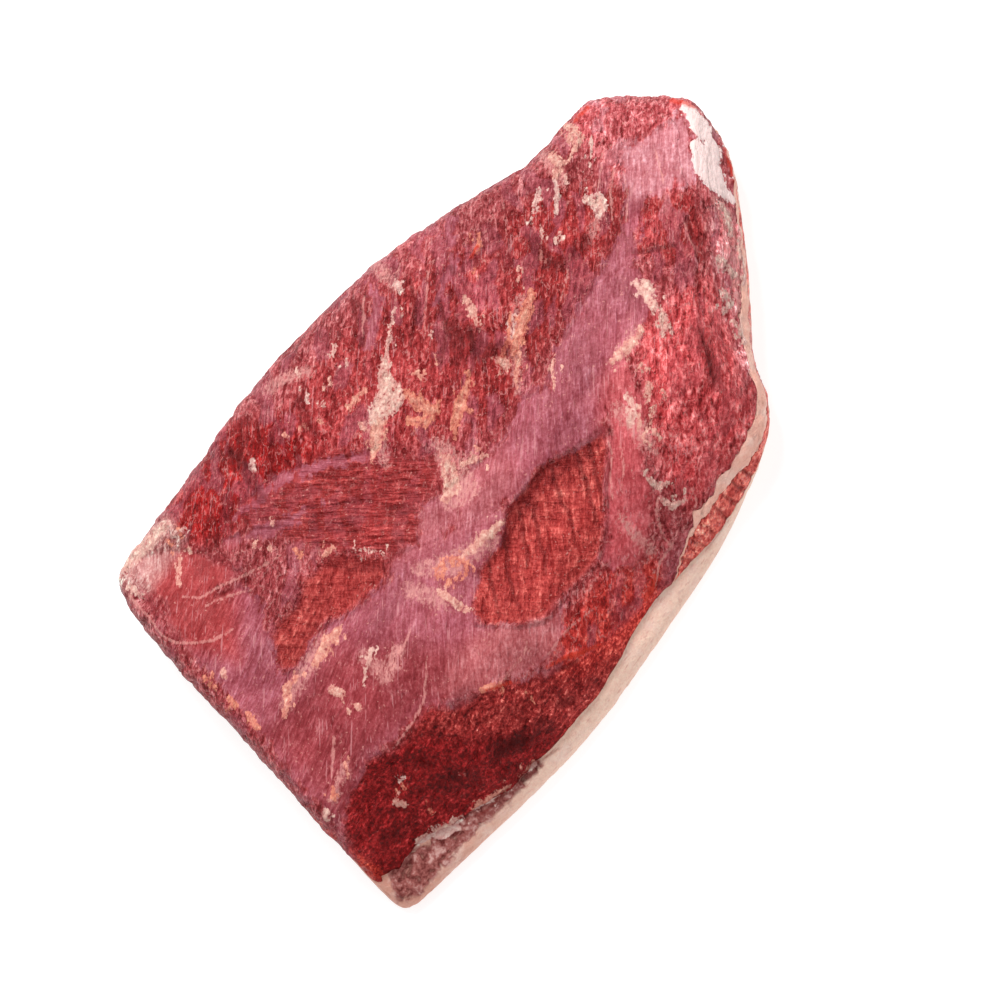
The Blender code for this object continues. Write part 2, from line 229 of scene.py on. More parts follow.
def crown(x, y):
    z = CROWN_HEIGHT - CUT_END_DROP * smooth_step(*CUT_END_SLOPE, x) - TIP_DROP * smooth_step(*TIP_SLOPE, x)
    z = z - NEAR_DROP * smooth_step(*NEAR_SLOPE, y) - FAR_DROP * smooth_step(*FAR_SLOPE, y)
    for form in RIBS:
        z = z + mound(x, y, form)
    for form in WINDOWS:
        z = z - mound(x, y, form)
    return z + 1.4 * MM * lumps(x, y, 34 * MM, 3) + 0.7 * MM * lumps(x, y, 14 * MM, 8)


def shoulder(distance, reach, squareness):
    q = np.clip(distance / reach, 0, 1)
    return (1 - (1 - q) ** squareness) ** (1 / squareness)


def towards_tip(s):
    return smooth_step(*TIPWARD_STRETCH, s)


def fat_thickness(x):
    return FAT_THICKNESS - FAT_THINNING * smooth_step(*THINNING_SLOPE, x)


def ledge(s):
    wave = 1 + sum(share * np.sin(pace * s + start) for share, pace, start in LEDGE_WAVES)
    wide = blend(LEDGE, CORNER_LEDGE, smooth_step(*CORNER_STRETCH, s))
    wide = blend(wide, SHELF_LEDGE, smooth_step(*SHELF_STRETCH, s))
    return blend(wide, THIN_LEDGE, smooth_step(*THINNING_STRETCH, s)) * wave


def row_value(rows, column, row):
    return np.interp(row, np.arange(ROWS), [values[column] for values in rows])


def outside(s, t, row):
    tipward = towards_tip(s)
    thickness = fat_thickness(plan(s, t)[:, 0])
    far, cut, tip = (row_value(rows, 0, row) * MM for rows in (FAR_ROWS, CUT_ROWS, TIP_ROWS))
    heights = [row_value(rows, 1, row) * MM for rows in (FAR_ROWS, CUT_ROWS, TIP_ROWS)]
    near = blend(row_value(NEAR_SHARES, 0, row) * ledge(s), tip, tipward)
    near_height = blend(row_value(NEAR_SHARES, 1, row) * thickness, heights[-1], tipward)
    xy = plan(s, t, near, far, cut, tip)
    length, width = spans(s)
    from_near, from_far = (t + 1) / 2 * width, (1 - t) / 2 * width
    from_cut, from_tip = (s + 1) / 2 * length, (1 - s) / 2 * length
    weights = [(distance + MM) ** -RIM_PULL for distance in (from_near, from_far, from_cut, from_tip)]
    rim = sum(weight * height for weight, height in zip(weights, [near_height, *heights])) / sum(weights)
    rise = (shoulder(from_near, blend(NEAR_SHOULDER, DIAGONAL_SHOULDER, tipward),
                     blend(NEAR_SQUARENESS, DIAGONAL_SQUARENESS, tipward))
            * shoulder(from_far, FAR_SHOULDER, FAR_SQUARENESS)
            * shoulder(from_cut, CUT_SHOULDER, CUT_SQUARENESS)
            * shoulder(from_tip, TIP_SHOULDER, TIP_SQUARENESS))
    return xy, rim + (crown(xy[:, 0], xy[:, 1]) - rim) * rise


# The photo's camera.
ELEVATION, ROLL = math.radians(60), math.radians(49)
DISTANCE = 1180 * MM
LENS, SENSOR, FRAME = 85, 36, 1000
TARGET = np.array([-18.6, -22.6, 25.0]) * MM
FORWARD = np.array([0, math.cos(ELEVATION), -math.sin(ELEVATION)])
RIGHT = np.array([1.0, 0, 0])
UP = np.array([0, math.sin(ELEVATION), math.cos(ELEVATION)])
EYE = TARGET - DISTANCE * FORWARD
IMAGE_RIGHT = RIGHT * math.cos(ROLL) - UP * math.sin(ROLL)
IMAGE_UP = RIGHT * math.sin(ROLL) + UP * math.cos(ROLL)
PIXEL = 0.5


def to_photo(co):
    """The photo's pixel coordinates of points."""
    q = co - EYE
    scale = FRAME * LENS / SENSOR / (q @ FORWARD)
    return np.stack([FRAME / 2 + scale * (q @ IMAGE_RIGHT), FRAME / 2 - scale * (q @ IMAGE_UP)], -1)


# What the photo shows, as outlines and strokes in its pixels.
POCKET_A = [(604, 425), (601, 434), (567, 454), (539, 468), (528, 487), (507, 510), (505, 535), (500, 546),
            (482, 567), (474, 594), (474, 617), (493, 624), (523, 622), (544, 617), (562, 594), (581, 578),
            (599, 555), (604, 519), (601, 489), (606, 454)]
POCKET_B = [(332, 555), (382, 558), (385, 576), (352, 608), (320, 624), (307, 650), (295, 668), (281, 668),
            (270, 638), (281, 620), (297, 604), (302, 581), (316, 569)]
DARK_SIDE = [(659, 594), (581, 659), (548, 675), (500, 684), (482, 691), (470, 702), (455, 709), (427, 707),
             (407, 736), (391, 750), (368, 759), (358, 778), (347, 796), (342, 824), (351, 851), (370, 870),
             (393, 899), (404, 880), (415, 858), (470, 830), (510, 800), (545, 768), (590, 735), (640, 670),
             (672, 620), (676, 596)]
UPPER_DARK = [(500, 684), (560, 676), (600, 668), (648, 630), (648, 665), (600, 712), (560, 726),
              (520, 730), (470, 738), (430, 730), (407, 734), (427, 709), (470, 702)]
TORN = [(538, 757), (525, 760), (499, 786), (461, 805), (426, 843), (400, 856), (388, 872), (398, 904),
        (420, 896), (442, 868), (470, 837), (499, 811), (525, 786), (544, 766)]
FILM_TIP = [(585, 95), (690, 95), (700, 160), (690, 215), (640, 200), (600, 165)]
FILM_LOW = [(300, 690), (330, 650), (400, 640), (480, 650), (480, 700), (430, 705), (370, 755), (345, 830),
            (262, 735)]
FILM_LEFT = [(110, 545), (235, 545), (240, 660), (180, 650)]
FILM_CENTRE = [(380, 570), (395, 520), (440, 500), (445, 455), (500, 440), (520, 480), (500, 515),
               (430, 545)]
FILM_RIGHT = [(600, 380), (640, 340), (700, 300), (752, 300), (768, 400), (740, 480), (680, 550),
              (640, 580), (600, 560)]
FILM_SIDE = [(500, 620), (560, 600), (565, 655), (520, 680), (470, 700), (440, 690), (470, 640)]
BRIGHT_SIDE = [(600, 575), (655, 556), (672, 590), (655, 620), (600, 668), (560, 676), (546, 640)]
RIDGES = [(300, 470), (330, 452), (436, 458), (440, 480), (424, 500), (414, 545), (385, 556), (310, 548),
          (256, 528), (236, 510)]
LEFT_RED = [(225, 425), (290, 410), (330, 450), (300, 480), (250, 520), (215, 545), (160, 548), (165, 515)]
UPPER_RED = [(300, 375), (380, 290), (470, 240), (500, 260), (505, 340), (470, 400), (440, 450), (330, 455),
             (285, 420)]
MIDDLE_RED = [(500, 215), (560, 180), (610, 180), (640, 200), (600, 270), (560, 330), (520, 400),
              (470, 440), (470, 380), (500, 330)]
DEEP_RED = [(634, 200), (690, 190), (705, 225), (703, 262), (660, 262), (634, 250)]
RIGHT_LEAN = [(640, 330), (700, 270), (735, 300), (765, 400), (762, 440), (720, 478), (690, 510),
              (660, 470)]
PINK_SIDE = [(715, 195), (745, 215), (752, 290), (768, 380), (745, 380), (722, 300), (712, 240)]
TIP_LEAN = [(585, 100), (680, 98), (700, 150), (690, 190), (640, 195), (600, 170), (575, 130)]
CORNER = [(112, 575), (165, 516), (185, 540), (150, 590), (120, 590)]
SKIN = [
    [(205, 600), (240, 585), (262, 600), (268, 640), (283, 672), (300, 672), (318, 630), (352, 613),
     (388, 580), (392, 556), (430, 540), (470, 520), (503, 505), (503, 540), (480, 570), (470, 600),
     (476, 625), (520, 627), (545, 622), (566, 600), (560, 650), (540, 668), (500, 680), (470, 698),
     (430, 703), (403, 733), (368, 755), (350, 790), (340, 826), (300, 785), (262, 735), (225, 690),
     (190, 652), (165, 615)],
    [(416, 548), (422, 505), (446, 490), (500, 445), (522, 400), (548, 385), (560, 345), (578, 310),
     (602, 270), (620, 232), (628, 190), (640, 160), (660, 165), (650, 195), (640, 225), (636, 262),
     (655, 300), (640, 330), (622, 380), (606, 418), (600, 436), (560, 456), (536, 468), (520, 492),
     (500, 510)],
    [(130, 560), (165, 602), (200, 640), (228, 655), (232, 640), (215, 620), (215, 590), (240, 572),
     (200, 552), (165, 548)],
    [(622, 150), (646, 134), (668, 124), (682, 108), (692, 122), (690, 150), (692, 182), (662, 192),
     (640, 205), (622, 180)],
    [(610, 345), (645, 400), (642, 460), (655, 500), (645, 560), (612, 570), (600, 560), (608, 520),
     (604, 480), (612, 440), (606, 400)],
]
# Strokes: each is a list of x, y and half width.
SKIN_STROKES = [
    [(375, 454, 4), (330, 464, 5), (284, 477, 5), (249, 505, 6), (234, 519, 5)],
    [(320, 505, 3), (267, 530, 6), (223, 545, 5)], [(270, 526, 2), (288, 519, 2), (320, 505, 2)],
    [(360, 262, 4), (376, 300, 6), (370, 345, 5)], [(450, 220, 5), (452, 262, 4), (440, 300, 4)],
]
# Tones of the flecks of fat, from the whitest to the reddest.
SNOW, WHITE, PALE, CREAM, TAN, ORANGE = -0.5, 0.0, 0.2, 0.5, 0.75, 1.0
FLECKS = [
    (WHITE, [(396, 281, 3.5), (400, 290, 3.5)]),
    (PALE, [(395, 307, 1.5), (389, 328, 1.8), (388, 346, 2.2), (384, 367, 5)]),
    (PALE, [(384, 367, 5), (386, 382, 9), (390, 396, 15), (383, 408, 12), (376, 420, 9)]),
    (TAN, [(378, 420, 9), (378, 436, 8), (374, 456, 3), (373, 467, 1.5)]),
    (TAN, [(350, 408, 2), (356, 396, 3), (366, 390, 2.5)]), (CREAM, [(360, 424, 2.5), (365, 430, 2.5)]),
    (ORANGE, [(404, 392, 4), (418, 404, 7), (436, 412, 5)]),
    (ORANGE, [(410, 420, 5), (424, 424, 5), (440, 402, 2.5)]), (TAN, [(414, 371, 2), (424, 379, 2.5)]),
    (TAN, [(436, 356, 1.8), (437, 362, 1.8)]),
    (ORANGE, [(467, 372, 2.5), (468, 385, 4), (460, 406, 6.5), (455, 422, 4), (455, 437, 2)]),
    (ORANGE, [(462, 408, 3), (471, 411, 2)]),
    (CREAM, [(465, 298, 3), (472, 308, 5), (476, 320, 3), (479, 330, 1.5)]),
    (CREAM, [(496, 358, 3), (504, 364, 5), (508, 368, 3)]),
    (WHITE, [(514, 314, 1.8), (513, 328, 2.6), (514, 341, 1.8)]),
    (ORANGE, [(531, 292, 4), (528, 310, 6), (519, 333, 6), (514, 352, 4)]),
    (ORANGE, [(511, 315, 2.5), (509, 338, 2.5), (499, 364, 2)]),
    (TAN, [(519, 353, 3), (516, 372, 3), (518, 390, 2)]),
    (CREAM, [(554, 355, 1.5), (553, 372, 2), (555, 390, 1.5)]),
    (PALE, [(431, 330, 1.5), (431, 337, 1.5)]), (ORANGE, [(479, 233, 2), (479, 244, 3), (477, 253, 2)]),
    (ORANGE, [(474, 267, 1.8), (474, 274, 1.8)]),
    (WHITE, [(539, 189, 2), (535, 206, 2.8), (531, 223, 1.8)]),
    (WHITE, [(557, 186, 2.6), (557, 202, 3), (556, 215, 1.8)]), (PALE, [(565, 175, 2), (566, 182, 2)]),
    (PALE, [(542, 226, 1.6), (542, 241, 1.8)]), (PALE, [(560, 229, 1.6), (560, 243, 1.8)]),
    (CREAM, [(541, 252, 1.8), (541, 261, 1.8)]), (CREAM, [(518, 267, 1.6), (518, 281, 1.8)]),
    (WHITE, [(591, 137, 1.6), (591, 152, 1.8), (591, 166, 1.2)]),
    (WHITE, [(586, 200, 5), (597, 202, 9), (602, 208, 6), (598, 215, 3)]),
    (PALE, [(638, 284, 5), (645, 288, 9), (650, 298, 7), (654, 307, 5)]),
    (PALE, [(661, 312, 4), (665, 325, 6), (663, 335, 3)]),
    (CREAM, [(642, 327, 3), (636, 340, 4), (622, 352, 5), (610, 364, 3)]),
    (CREAM, [(640, 364, 3), (641, 370, 3)]), (CREAM, [(648, 383, 3), (647, 395, 4), (646, 404, 2)]),
    (CREAM, [(662, 391, 2.5), (664, 396, 2.5)]),
    (CREAM, [(628, 402, 2), (640, 415, 2.2), (638, 432, 2), (650, 446, 1.8)]),
    (CREAM, [(655, 405, 1.6), (650, 422, 2), (660, 440, 1.6)]),
    (CREAM, [(573, 130, 4), (579, 138, 5), (576, 148, 3)]),
    (SNOW, [(684, 106, 4), (692, 114, 7), (699, 126, 9), (704, 134, 7)]),
    (SNOW, [(696, 146, 7), (702, 156, 10), (706, 168, 12), (714, 180, 10), (722, 190, 6), (733, 201, 3)]),
    (SNOW, [(708, 138, 5), (714, 150, 6), (716, 160, 5)]),
    (CREAM, [(566, 124, 4), (574, 130, 5), (570, 142, 4)]),
    (CREAM, [(552, 156, 5), (560, 164, 6), (556, 176, 4)]),
    (WHITE, [(720, 206, 3), (728, 218, 5), (731, 234, 3)]),
    (WHITE, [(718, 258, 3), (726, 266, 4), (734, 276, 3)]),
    (WHITE, [(722, 290, 3), (730, 302, 4.5), (724, 312, 3)]),
    (PALE, [(733, 322, 2.5), (740, 332, 3), (744, 344, 2)]),
    (PALE, [(738, 246, 2), (742, 262, 2.5), (744, 284, 2)]),
    (CREAM, [(446, 500, 4), (452, 488, 8), (450, 472, 8), (447, 458, 5)]),
    (CREAM, [(462, 463, 3), (474, 459, 4.5), (486, 456, 3)]), (TAN, [(476, 447, 2), (480, 449, 2.5)]),
    (CREAM, [(461, 558, 2.5), (475, 545, 4), (490, 534, 5), (503, 521, 3)]),
    (ORANGE, [(436, 570, 2.5), (446, 560, 3), (458, 558, 3), (468, 566, 3), (466, 576, 2.5)]),
    (ORANGE, [(438, 574, 2.5), (450, 580, 2.5), (462, 580, 2)]),
    (CREAM, [(440, 592, 3.5), (453, 601, 4), (466, 610, 3.5)]),
    (TAN, [(333, 546, 2), (328, 551, 3), (323, 557, 2)]), (ORANGE, [(296, 550, 3), (301, 556, 3)]),
    (CREAM, [(256, 543, 3), (256, 546, 3)]), (CREAM, [(270, 547, 2.5), (271, 550, 2.5)]),
    (CREAM, [(272, 522, 2.5), (273, 525, 2)]), (CREAM, [(334, 690, 5), (342, 694, 5)]),
    (CREAM, [(355, 706, 3.5), (361, 708, 3)]), (PALE, [(372, 650, 2), (369, 663, 2)]),
    (PALE, [(374, 647, 1.5), (365, 670, 2), (363, 688, 1.5)]),
    (TAN, [(316, 664, 4), (325, 650, 6), (334, 636, 5), (340, 628, 2.5)]),
    (TAN, [(297, 677, 3), (286, 689, 4), (289, 702, 4), (284, 718, 2.5)]),
    (TAN, [(346, 764, 2), (349, 778, 2)]), (ORANGE, [(333, 788, 2.5), (335, 800, 2.5)]),
    (PALE, [(326, 812, 4), (327, 817, 4)]), (CREAM, [(223, 671, 3), (225, 676, 3)]),
    (ORANGE, [(208, 678, 3), (214, 688, 3)]), (ORANGE, [(229, 698, 3), (236, 706, 3)]),
    (ORANGE, [(249, 716, 4), (258, 728, 3.5)]), (ORANGE, [(179, 530, 3), (182, 535, 3)]),
    (CREAM, [(187, 548, 3), (190, 552, 2)]), (ORANGE, [(168, 541, 2.5), (171, 545, 2)]),
    (CREAM, [(181, 557, 2.5), (178, 583, 2.5)]), (PALE, [(334, 345, 2.5), (334, 354, 2.5)]),
    (PALE, [(347, 361, 2), (347, 365, 2)]), (PALE, [(297, 369, 1.8), (297, 373, 1.8)]),
    (WHITE, [(307, 391, 2), (307, 402, 2)]), (PALE, [(323, 402, 2), (324, 406, 2)]),
    (CREAM, [(330, 379, 2), (331, 384, 2)]), (WHITE, [(252, 459, 2.2), (253, 471, 2.5)]),
    (TAN, [(284, 434, 2.5), (286, 437, 2)]), (TAN, [(303, 425, 3), (306, 428, 2)]),
    (TAN, [(320, 421, 2.5), (323, 424, 2)]), (WHITE, [(397, 777, 2), (403, 779, 2)]),
    (ORANGE, [(402, 786, 2.5), (405, 789, 2)]), (CREAM, [(397, 801, 4), (403, 805, 4)]),
    (ORANGE, [(429, 810, 2.2), (432, 812, 2.2)]), (CREAM, [(461, 773, 2.2), (464, 774, 2)]),
    (ORANGE, [(529, 699, 2.5), (533, 702, 2)]), (ORANGE, [(482, 690, 3.5), (492, 686, 4), (500, 684, 3)]),
    (WHITE, [(440, 836, 5), (448, 830, 6), (456, 825, 4)]),
    (PALE, [(124, 568, 5), (140, 552, 8), (156, 534, 7), (166, 524, 4)]),
    (PALE, [(130, 588, 4), (142, 596, 3)]), (PALE, [(418, 842, 3), (440, 830, 4), (462, 818, 3)]),
    (TAN, [(474, 808, 2), (492, 798, 3), (510, 786, 2)]), (TAN, [(520, 776, 1.5), (536, 764, 2)]),
    (WHITE, [(173, 535, 3), (181, 531, 3), (184, 528, 2)]),
    (PALE, [(628, 395, 4), (634, 410, 5), (630, 424, 4)]),
    (PALE, [(648, 478, 3), (656, 486, 4), (668, 484, 3)]),
    (PALE, [(662, 500, 3), (672, 506, 4), (684, 500, 3)]),
    (PALE, [(352, 549, 1.6), (370, 551, 2), (385, 553, 1.6)]),
]
# Thin veins of fat, given the same way.
VEINS = [
    [(127, 592, 1.4), (146, 615, 1.6), (162, 636, 1.6), (176, 643, 1.5), (198, 643, 1.6),
     (215, 640, 1.6), (233, 629, 1.2)],
    [(183, 597, 1.0), (201, 598, 1.2), (222, 585, 1.4), (242, 576, 1.4), (261, 567, 1.4),
     (281, 555, 1.0)],
    [(205, 606, 0.9), (226, 597, 1.1), (252, 590, 1.0)],
    [(427, 656, 0.9), (426, 678, 1.1), (424, 700, 1.1), (414, 720, 1.2), (395, 746, 1.1)],
    [(398, 654, 1.0), (407, 640, 1.3), (412, 628, 0.9)],
    [(384, 677, 1.0), (395, 665, 1.3), (407, 642, 1.0)],
    [(334, 737, 1.1), (333, 758, 1.4), (332, 778, 1.1)],
    [(364, 296, 1.2), (363, 318, 1.4), (362, 337, 0.9)],
    [(659, 496, 1.3), (656, 512, 1.5), (661, 530, 1.5), (668, 544, 1.2)],
    [(500, 684, 1.2), (513, 668, 1.4), (524, 655, 1.3), (528, 640, 1.0)],
    [(548, 655, 1.0), (560, 638, 1.3), (576, 622, 1.3), (592, 610, 1.0)],
    [(605, 432, 0.9), (612, 455, 1.1), (610, 480, 1.1), (614, 505, 1.0)],
    [(620, 440, 0.9), (624, 466, 1.2), (622, 492, 1.0)],
    [(655, 585, 1.0), (660, 562, 1.4), (672, 545, 1.4), (678, 530, 1.0)],
    [(690, 486, 1.0), (697, 500, 1.3), (694, 514, 1.0)],
    [(400, 262, 0.8), (396, 285, 1.1), (395, 305, 0.8)],
    [(428, 270, 0.8), (426, 300, 1.1), (424, 330, 0.8)],
    [(602, 166, 0.8), (598, 190, 1.0), (604, 215, 0.8)],
    [(655, 150, 0.9), (660, 168, 1.1), (664, 184, 0.8)],
    [(684, 222, 0.9), (690, 240, 1.1), (698, 254, 0.9)],
    [(570, 254, 0.8), (566, 280, 1.0), (560, 306, 0.8)],
    [(614, 168, 0.9), (610, 196, 1.1), (613, 224, 0.8)],
    [(624, 172, 0.8), (628, 196, 1.0), (626, 222, 0.8)],
]
# Crevices, as strokes: x, y and half width. Their dark colour is painted shade; the relief also sinks them.
CRACKS = [
    [(588, 443, 1), (590, 455, 1.8), (593, 463, 2), (594, 476, 1.6), (599, 486, 1.8), (600, 502, 1)],
    [(574, 448, 1.4), (579, 460, 2.2), (580, 470, 2), (586, 482, 2.2), (588, 494, 1.6), (593, 508, 1.8),
     (596, 526, 1)],
    [(552, 468, 1.6), (553, 480, 2.2), (559, 492, 2), (560, 502, 1.8), (568, 512, 2), (571, 524, 1.6),
     (574, 542, 1)],
    [(534, 505, 1.4), (534, 518, 2), (538, 530, 1.6), (538, 542, 1.8), (543, 554, 1.6), (545, 574, 1)],
    [(520, 512, 1.4), (523, 526, 1.8), (522, 538, 1.6), (527, 550, 1.6), (526, 566, 1)],
    [(504, 540, 1.2), (507, 556, 1.8), (506, 570, 1.4), (511, 584, 1.6), (516, 604, 1)],
    [(489, 560, 1), (491, 582, 1.5), (496, 600, 1.4), (499, 618, 1)],
    [(606, 452, 1), (610, 470, 1.6), (606, 488, 1.4), (608, 508, 1)],
    [(239, 425, 1.5), (241, 445, 2.5), (238, 470, 1.5)],
    [(256, 421, 1.5), (259, 440, 2.2), (257, 455, 1.5)],
    [(271, 425, 1.5), (272, 450, 2.2), (270, 476, 1.5)], [(297, 440, 1.5), (299, 466, 2)],
    [(226, 443, 1.8), (232, 456, 2.2), (247, 467, 1.8)],
    [(352, 300, 1.5), (356, 320, 2.2), (352, 350, 1.5)],
    [(410, 280, 1.5), (415, 310, 2.2), (410, 345, 1.5)],
    [(440, 300, 1.5), (446, 330, 2), (440, 365, 1.5)], [(470, 330, 1.5), (474, 350, 2), (470, 375, 1.5)],
    [(452, 268, 3), (453, 273, 3)], [(451, 292, 3), (451, 297, 3)], [(356, 300, 2.5), (357, 304, 2.5)],
    [(362, 340, 3), (362, 344, 3)], [(273, 474, 3), (274, 478, 3)], [(288, 462, 2.5), (289, 465, 2.5)],
    [(475, 258, 2.5), (475, 264, 2.5)], [(686, 218, 1.8), (693, 240, 2.5), (700, 261, 1.8)],
    [(634, 252, 1.8), (655, 249, 2.2), (674, 244, 1.8)],
    [(700, 330, 1.8), (709, 355, 2.5), (715, 381, 1.8)], [(558, 670, 2), (568, 667, 2.5), (578, 661, 2)],
    [(498, 752, 4), (512, 745, 5), (528, 739, 4)],
    [(560, 748, 1.5), (531, 766, 2), (519, 777, 2), (496, 800, 2), (485, 812, 2), (463, 821, 1.5)],
    [(420, 760, 3), (432, 768, 3)], [(560, 705, 4), (572, 700, 4)],
]
# Grooves between the lumps of the second muscle, darkened with painted shade, and soft painted shade, given
# the same way.
GROOVES = [
    [(681, 559, 1.5), (697, 563, 2)], [(689, 540, 1.5), (704, 546, 2)], [(702, 524, 1.5), (714, 534, 2)],
    [(717, 509, 1.5), (728, 520, 2)], [(724, 495, 1.5), (738, 506, 2)], [(734, 483, 1.5), (745, 491, 2)],
    [(743, 471, 1.5), (754, 477, 2)],
]
# The soft painted shade lies under the pockets' walls and on the near side; some strokes are darker patches
# of the muscle itself.
SHADES = [
    [(604, 430, 5), (590, 446, 8), (567, 460, 9), (545, 476, 8), (530, 494, 7), (512, 520, 6),
     (505, 545, 4)],
    [(332, 562, 4), (350, 566, 6), (380, 566, 4)], [(470, 330, 6), (480, 350, 9), (505, 348, 7)],
    [(530, 235, 5), (545, 262, 7)], [(452, 322, 5), (460, 360, 7)],
    [(232, 452, 5), (247, 472, 6), (262, 500, 4)], [(298, 402, 5), (310, 430, 6)],
    [(560, 265, 6), (585, 240, 6)], [(700, 330, 5), (709, 355, 6), (715, 381, 5)],
    [(496, 750, 9), (525, 740, 10), (548, 726, 7)], [(440, 784, 9), (470, 776, 10)],
    [(386, 838, 7), (412, 822, 6)],
]
# Bright orange-red curls and rims, painted as highlights; the relief also raises them.
PAINTED_CURL_HIGHLIGHTS = [
    [(546, 668, 1.5), (562, 659, 2.5), (580, 653, 3), (600, 645, 2)],
    [(486, 690, 1.5), (500, 686, 2), (512, 682, 1.5)], [(655, 575, 2), (652, 590, 2.5), (645, 600, 2)],
    [(672, 101, 3), (684, 103, 3), (694, 108, 2.5)], [(724, 150, 2), (730, 168, 2.5), (736, 188, 2)],
    [(470, 258, 1.5), (478, 246, 2)], [(575, 121, 2), (588, 108, 2)],
]
# Soft pinkish-white veils: x, y and half width.
VEILS = [
    [(718, 198, 6), (730, 228, 9), (737, 265, 9), (742, 300, 8), (752, 345, 6), (763, 390, 4)],
    [(542, 155, 6), (555, 168, 8), (562, 182, 6)], [(122, 568, 7), (145, 545, 9), (168, 525, 6)],
    [(440, 445, 10), (455, 470, 14), (470, 490, 10), (450, 500, 10)],
    [(366, 425, 5), (380, 445, 6), (386, 465, 4)], [(372, 262, 6), (385, 275, 8), (396, 288, 5)],
    [(266, 390, 5), (285, 378, 7), (308, 371, 5)], [(420, 570, 8), (450, 565, 12), (490, 540, 9)],
    [(410, 590, 8), (440, 600, 10)], [(622, 352, 6), (636, 332, 6)],
    [(618, 410, 7), (640, 430, 10), (652, 450, 7)], [(622, 520, 4), (636, 536, 6), (652, 552, 5)],
    [(365, 655, 7), (385, 675, 9), (400, 650, 7)], [(325, 640, 8), (300, 680, 8), (286, 705, 6)],
    [(345, 766, 5), (334, 800, 5)], [(520, 300, 6), (515, 350, 7), (518, 390, 5)],
    [(600, 210, 6), (590, 240, 4)],
]


def linear(r, g, b):
    """A colour picked in 8-bit sRGB, as linear values."""
    c = np.array([r, g, b]) / 255
    return np.where(c <= 0.04045, c / 12.92, ((c + 0.055) / 1.055) ** 2.4)


# Colours of the muscle by zone, from the widest to the smallest, with the softness of the edge in pixels.
ZONES = [
    (LEFT_RED, (158, 34, 34), 16),
    (UPPER_RED, (164, 56, 57), 16),
    (MIDDLE_RED, (152, 47, 47), 16),
    (RIDGES, (150, 49, 49), 12),
    # The right lean and the pink side are painted lighter than the meat is, as painted light making up for
    # the weaker light on the side facing right.
    (RIGHT_LEAN, (216, 90, 92), 14),
    (PINK_SIDE, (226, 128, 132), 8),
    (TIP_LEAN, (208, 100, 104), 10),
    (DEEP_RED, (174, 62, 62), 8),
    (CORNER, (200, 148, 142), 8),
    (POCKET_A, (184, 70, 66), 4),
    (POCKET_B, (172, 64, 61), 6),
    # The near side is deep red meat, its colour darkened further with painted shade of the side that faces
    # away from the light.
    (DARK_SIDE, (140, 34, 35), 8),
    (UPPER_DARK, (162, 52, 50), 14),
    (BRIGHT_SIDE, (204, 66, 60), 14),
]
MUSCLE = linear(170, 76, 79)
CUT_FACE = linear(176, 50, 42)
POINT_LUMPS = linear(252, 124, 110)
# Colours of the silverskin, in the same way.
FILM_ZONES = [
    (FILM_LOW, (152, 64, 70), 20),
    (FILM_LEFT, (170, 64, 65), 16),
    (CORNER, (206, 148, 144), 10),
    (FILM_RIGHT, (194, 88, 93), 16),
    (FILM_CENTRE, (176, 96, 103), 16),
    (FILM_SIDE, (186, 104, 107), 14),
    (FILM_TIP, (208, 138, 146), 16),
]
FILM = linear(165, 86, 98)


def polygon_distance(px, corners):
    """Signed distance in pixels, above zero inside."""
    inside = np.zeros(len(px), bool)
    nearest = np.full(len(px), 1e9)
    for (x0, y0), (x1, y1) in zip(corners, corners[1:] + corners[:1]):
        ex, ey = x1 - x0, y1 - y0
        dx, dy = px[:, 0] - x0, px[:, 1] - y0
        q = np.clip((dx * ex + dy * ey) / max(ex * ex + ey * ey, 1e-9), 0, 1)
        nearest = np.minimum(nearest, (dx - q * ex) ** 2 + (dy - q * ey) ** 2)
        if y0 != y1:
            crosses = (y0 > px[:, 1]) != (y1 > px[:, 1])
            inside ^= crosses & (px[:, 0] < x0 + (px[:, 1] - y0) / (y1 - y0) * ex)
    return np.where(inside, 1, -1) * np.sqrt(nearest)


FAR_AWAY, OUTSIDE = -12.0, -40.0


def stroke_distance(px, points, result):
    """Raises result to the stroke's half width less the distance from its middle line, where that is more."""
    for (x0, y0, w0), (x1, y1, w1) in zip(points, points[1:]):
        reach = max(w0, w1) - FAR_AWAY
        near = np.flatnonzero((px[:, 0] > min(x0, x1) - reach) & (px[:, 0] < max(x0, x1) + reach)
                              & (px[:, 1] > min(y0, y1) - reach) & (px[:, 1] < max(y0, y1) + reach))
        dx, dy = px[near, 0] - x0, px[near, 1] - y0
        ex, ey = x1 - x0, y1 - y0
        q = np.clip((dx * ex + dy * ey) / max(ex * ex + ey * ey, 1e-9), 0, 1)
        value = w0 + (w1 - w0) * q - np.hypot(dx - q * ex, dy - q * ey)
        result[near] = np.maximum(result[near], value)
    return result


# The surface.
CROWDING = 0.4


def crowded(q):
    """Moves shares of the top's length towards its ends, where the form turns fastest."""
    return (1 - CROWDING) * q + CROWDING * np.sin(q * np.pi / 2)


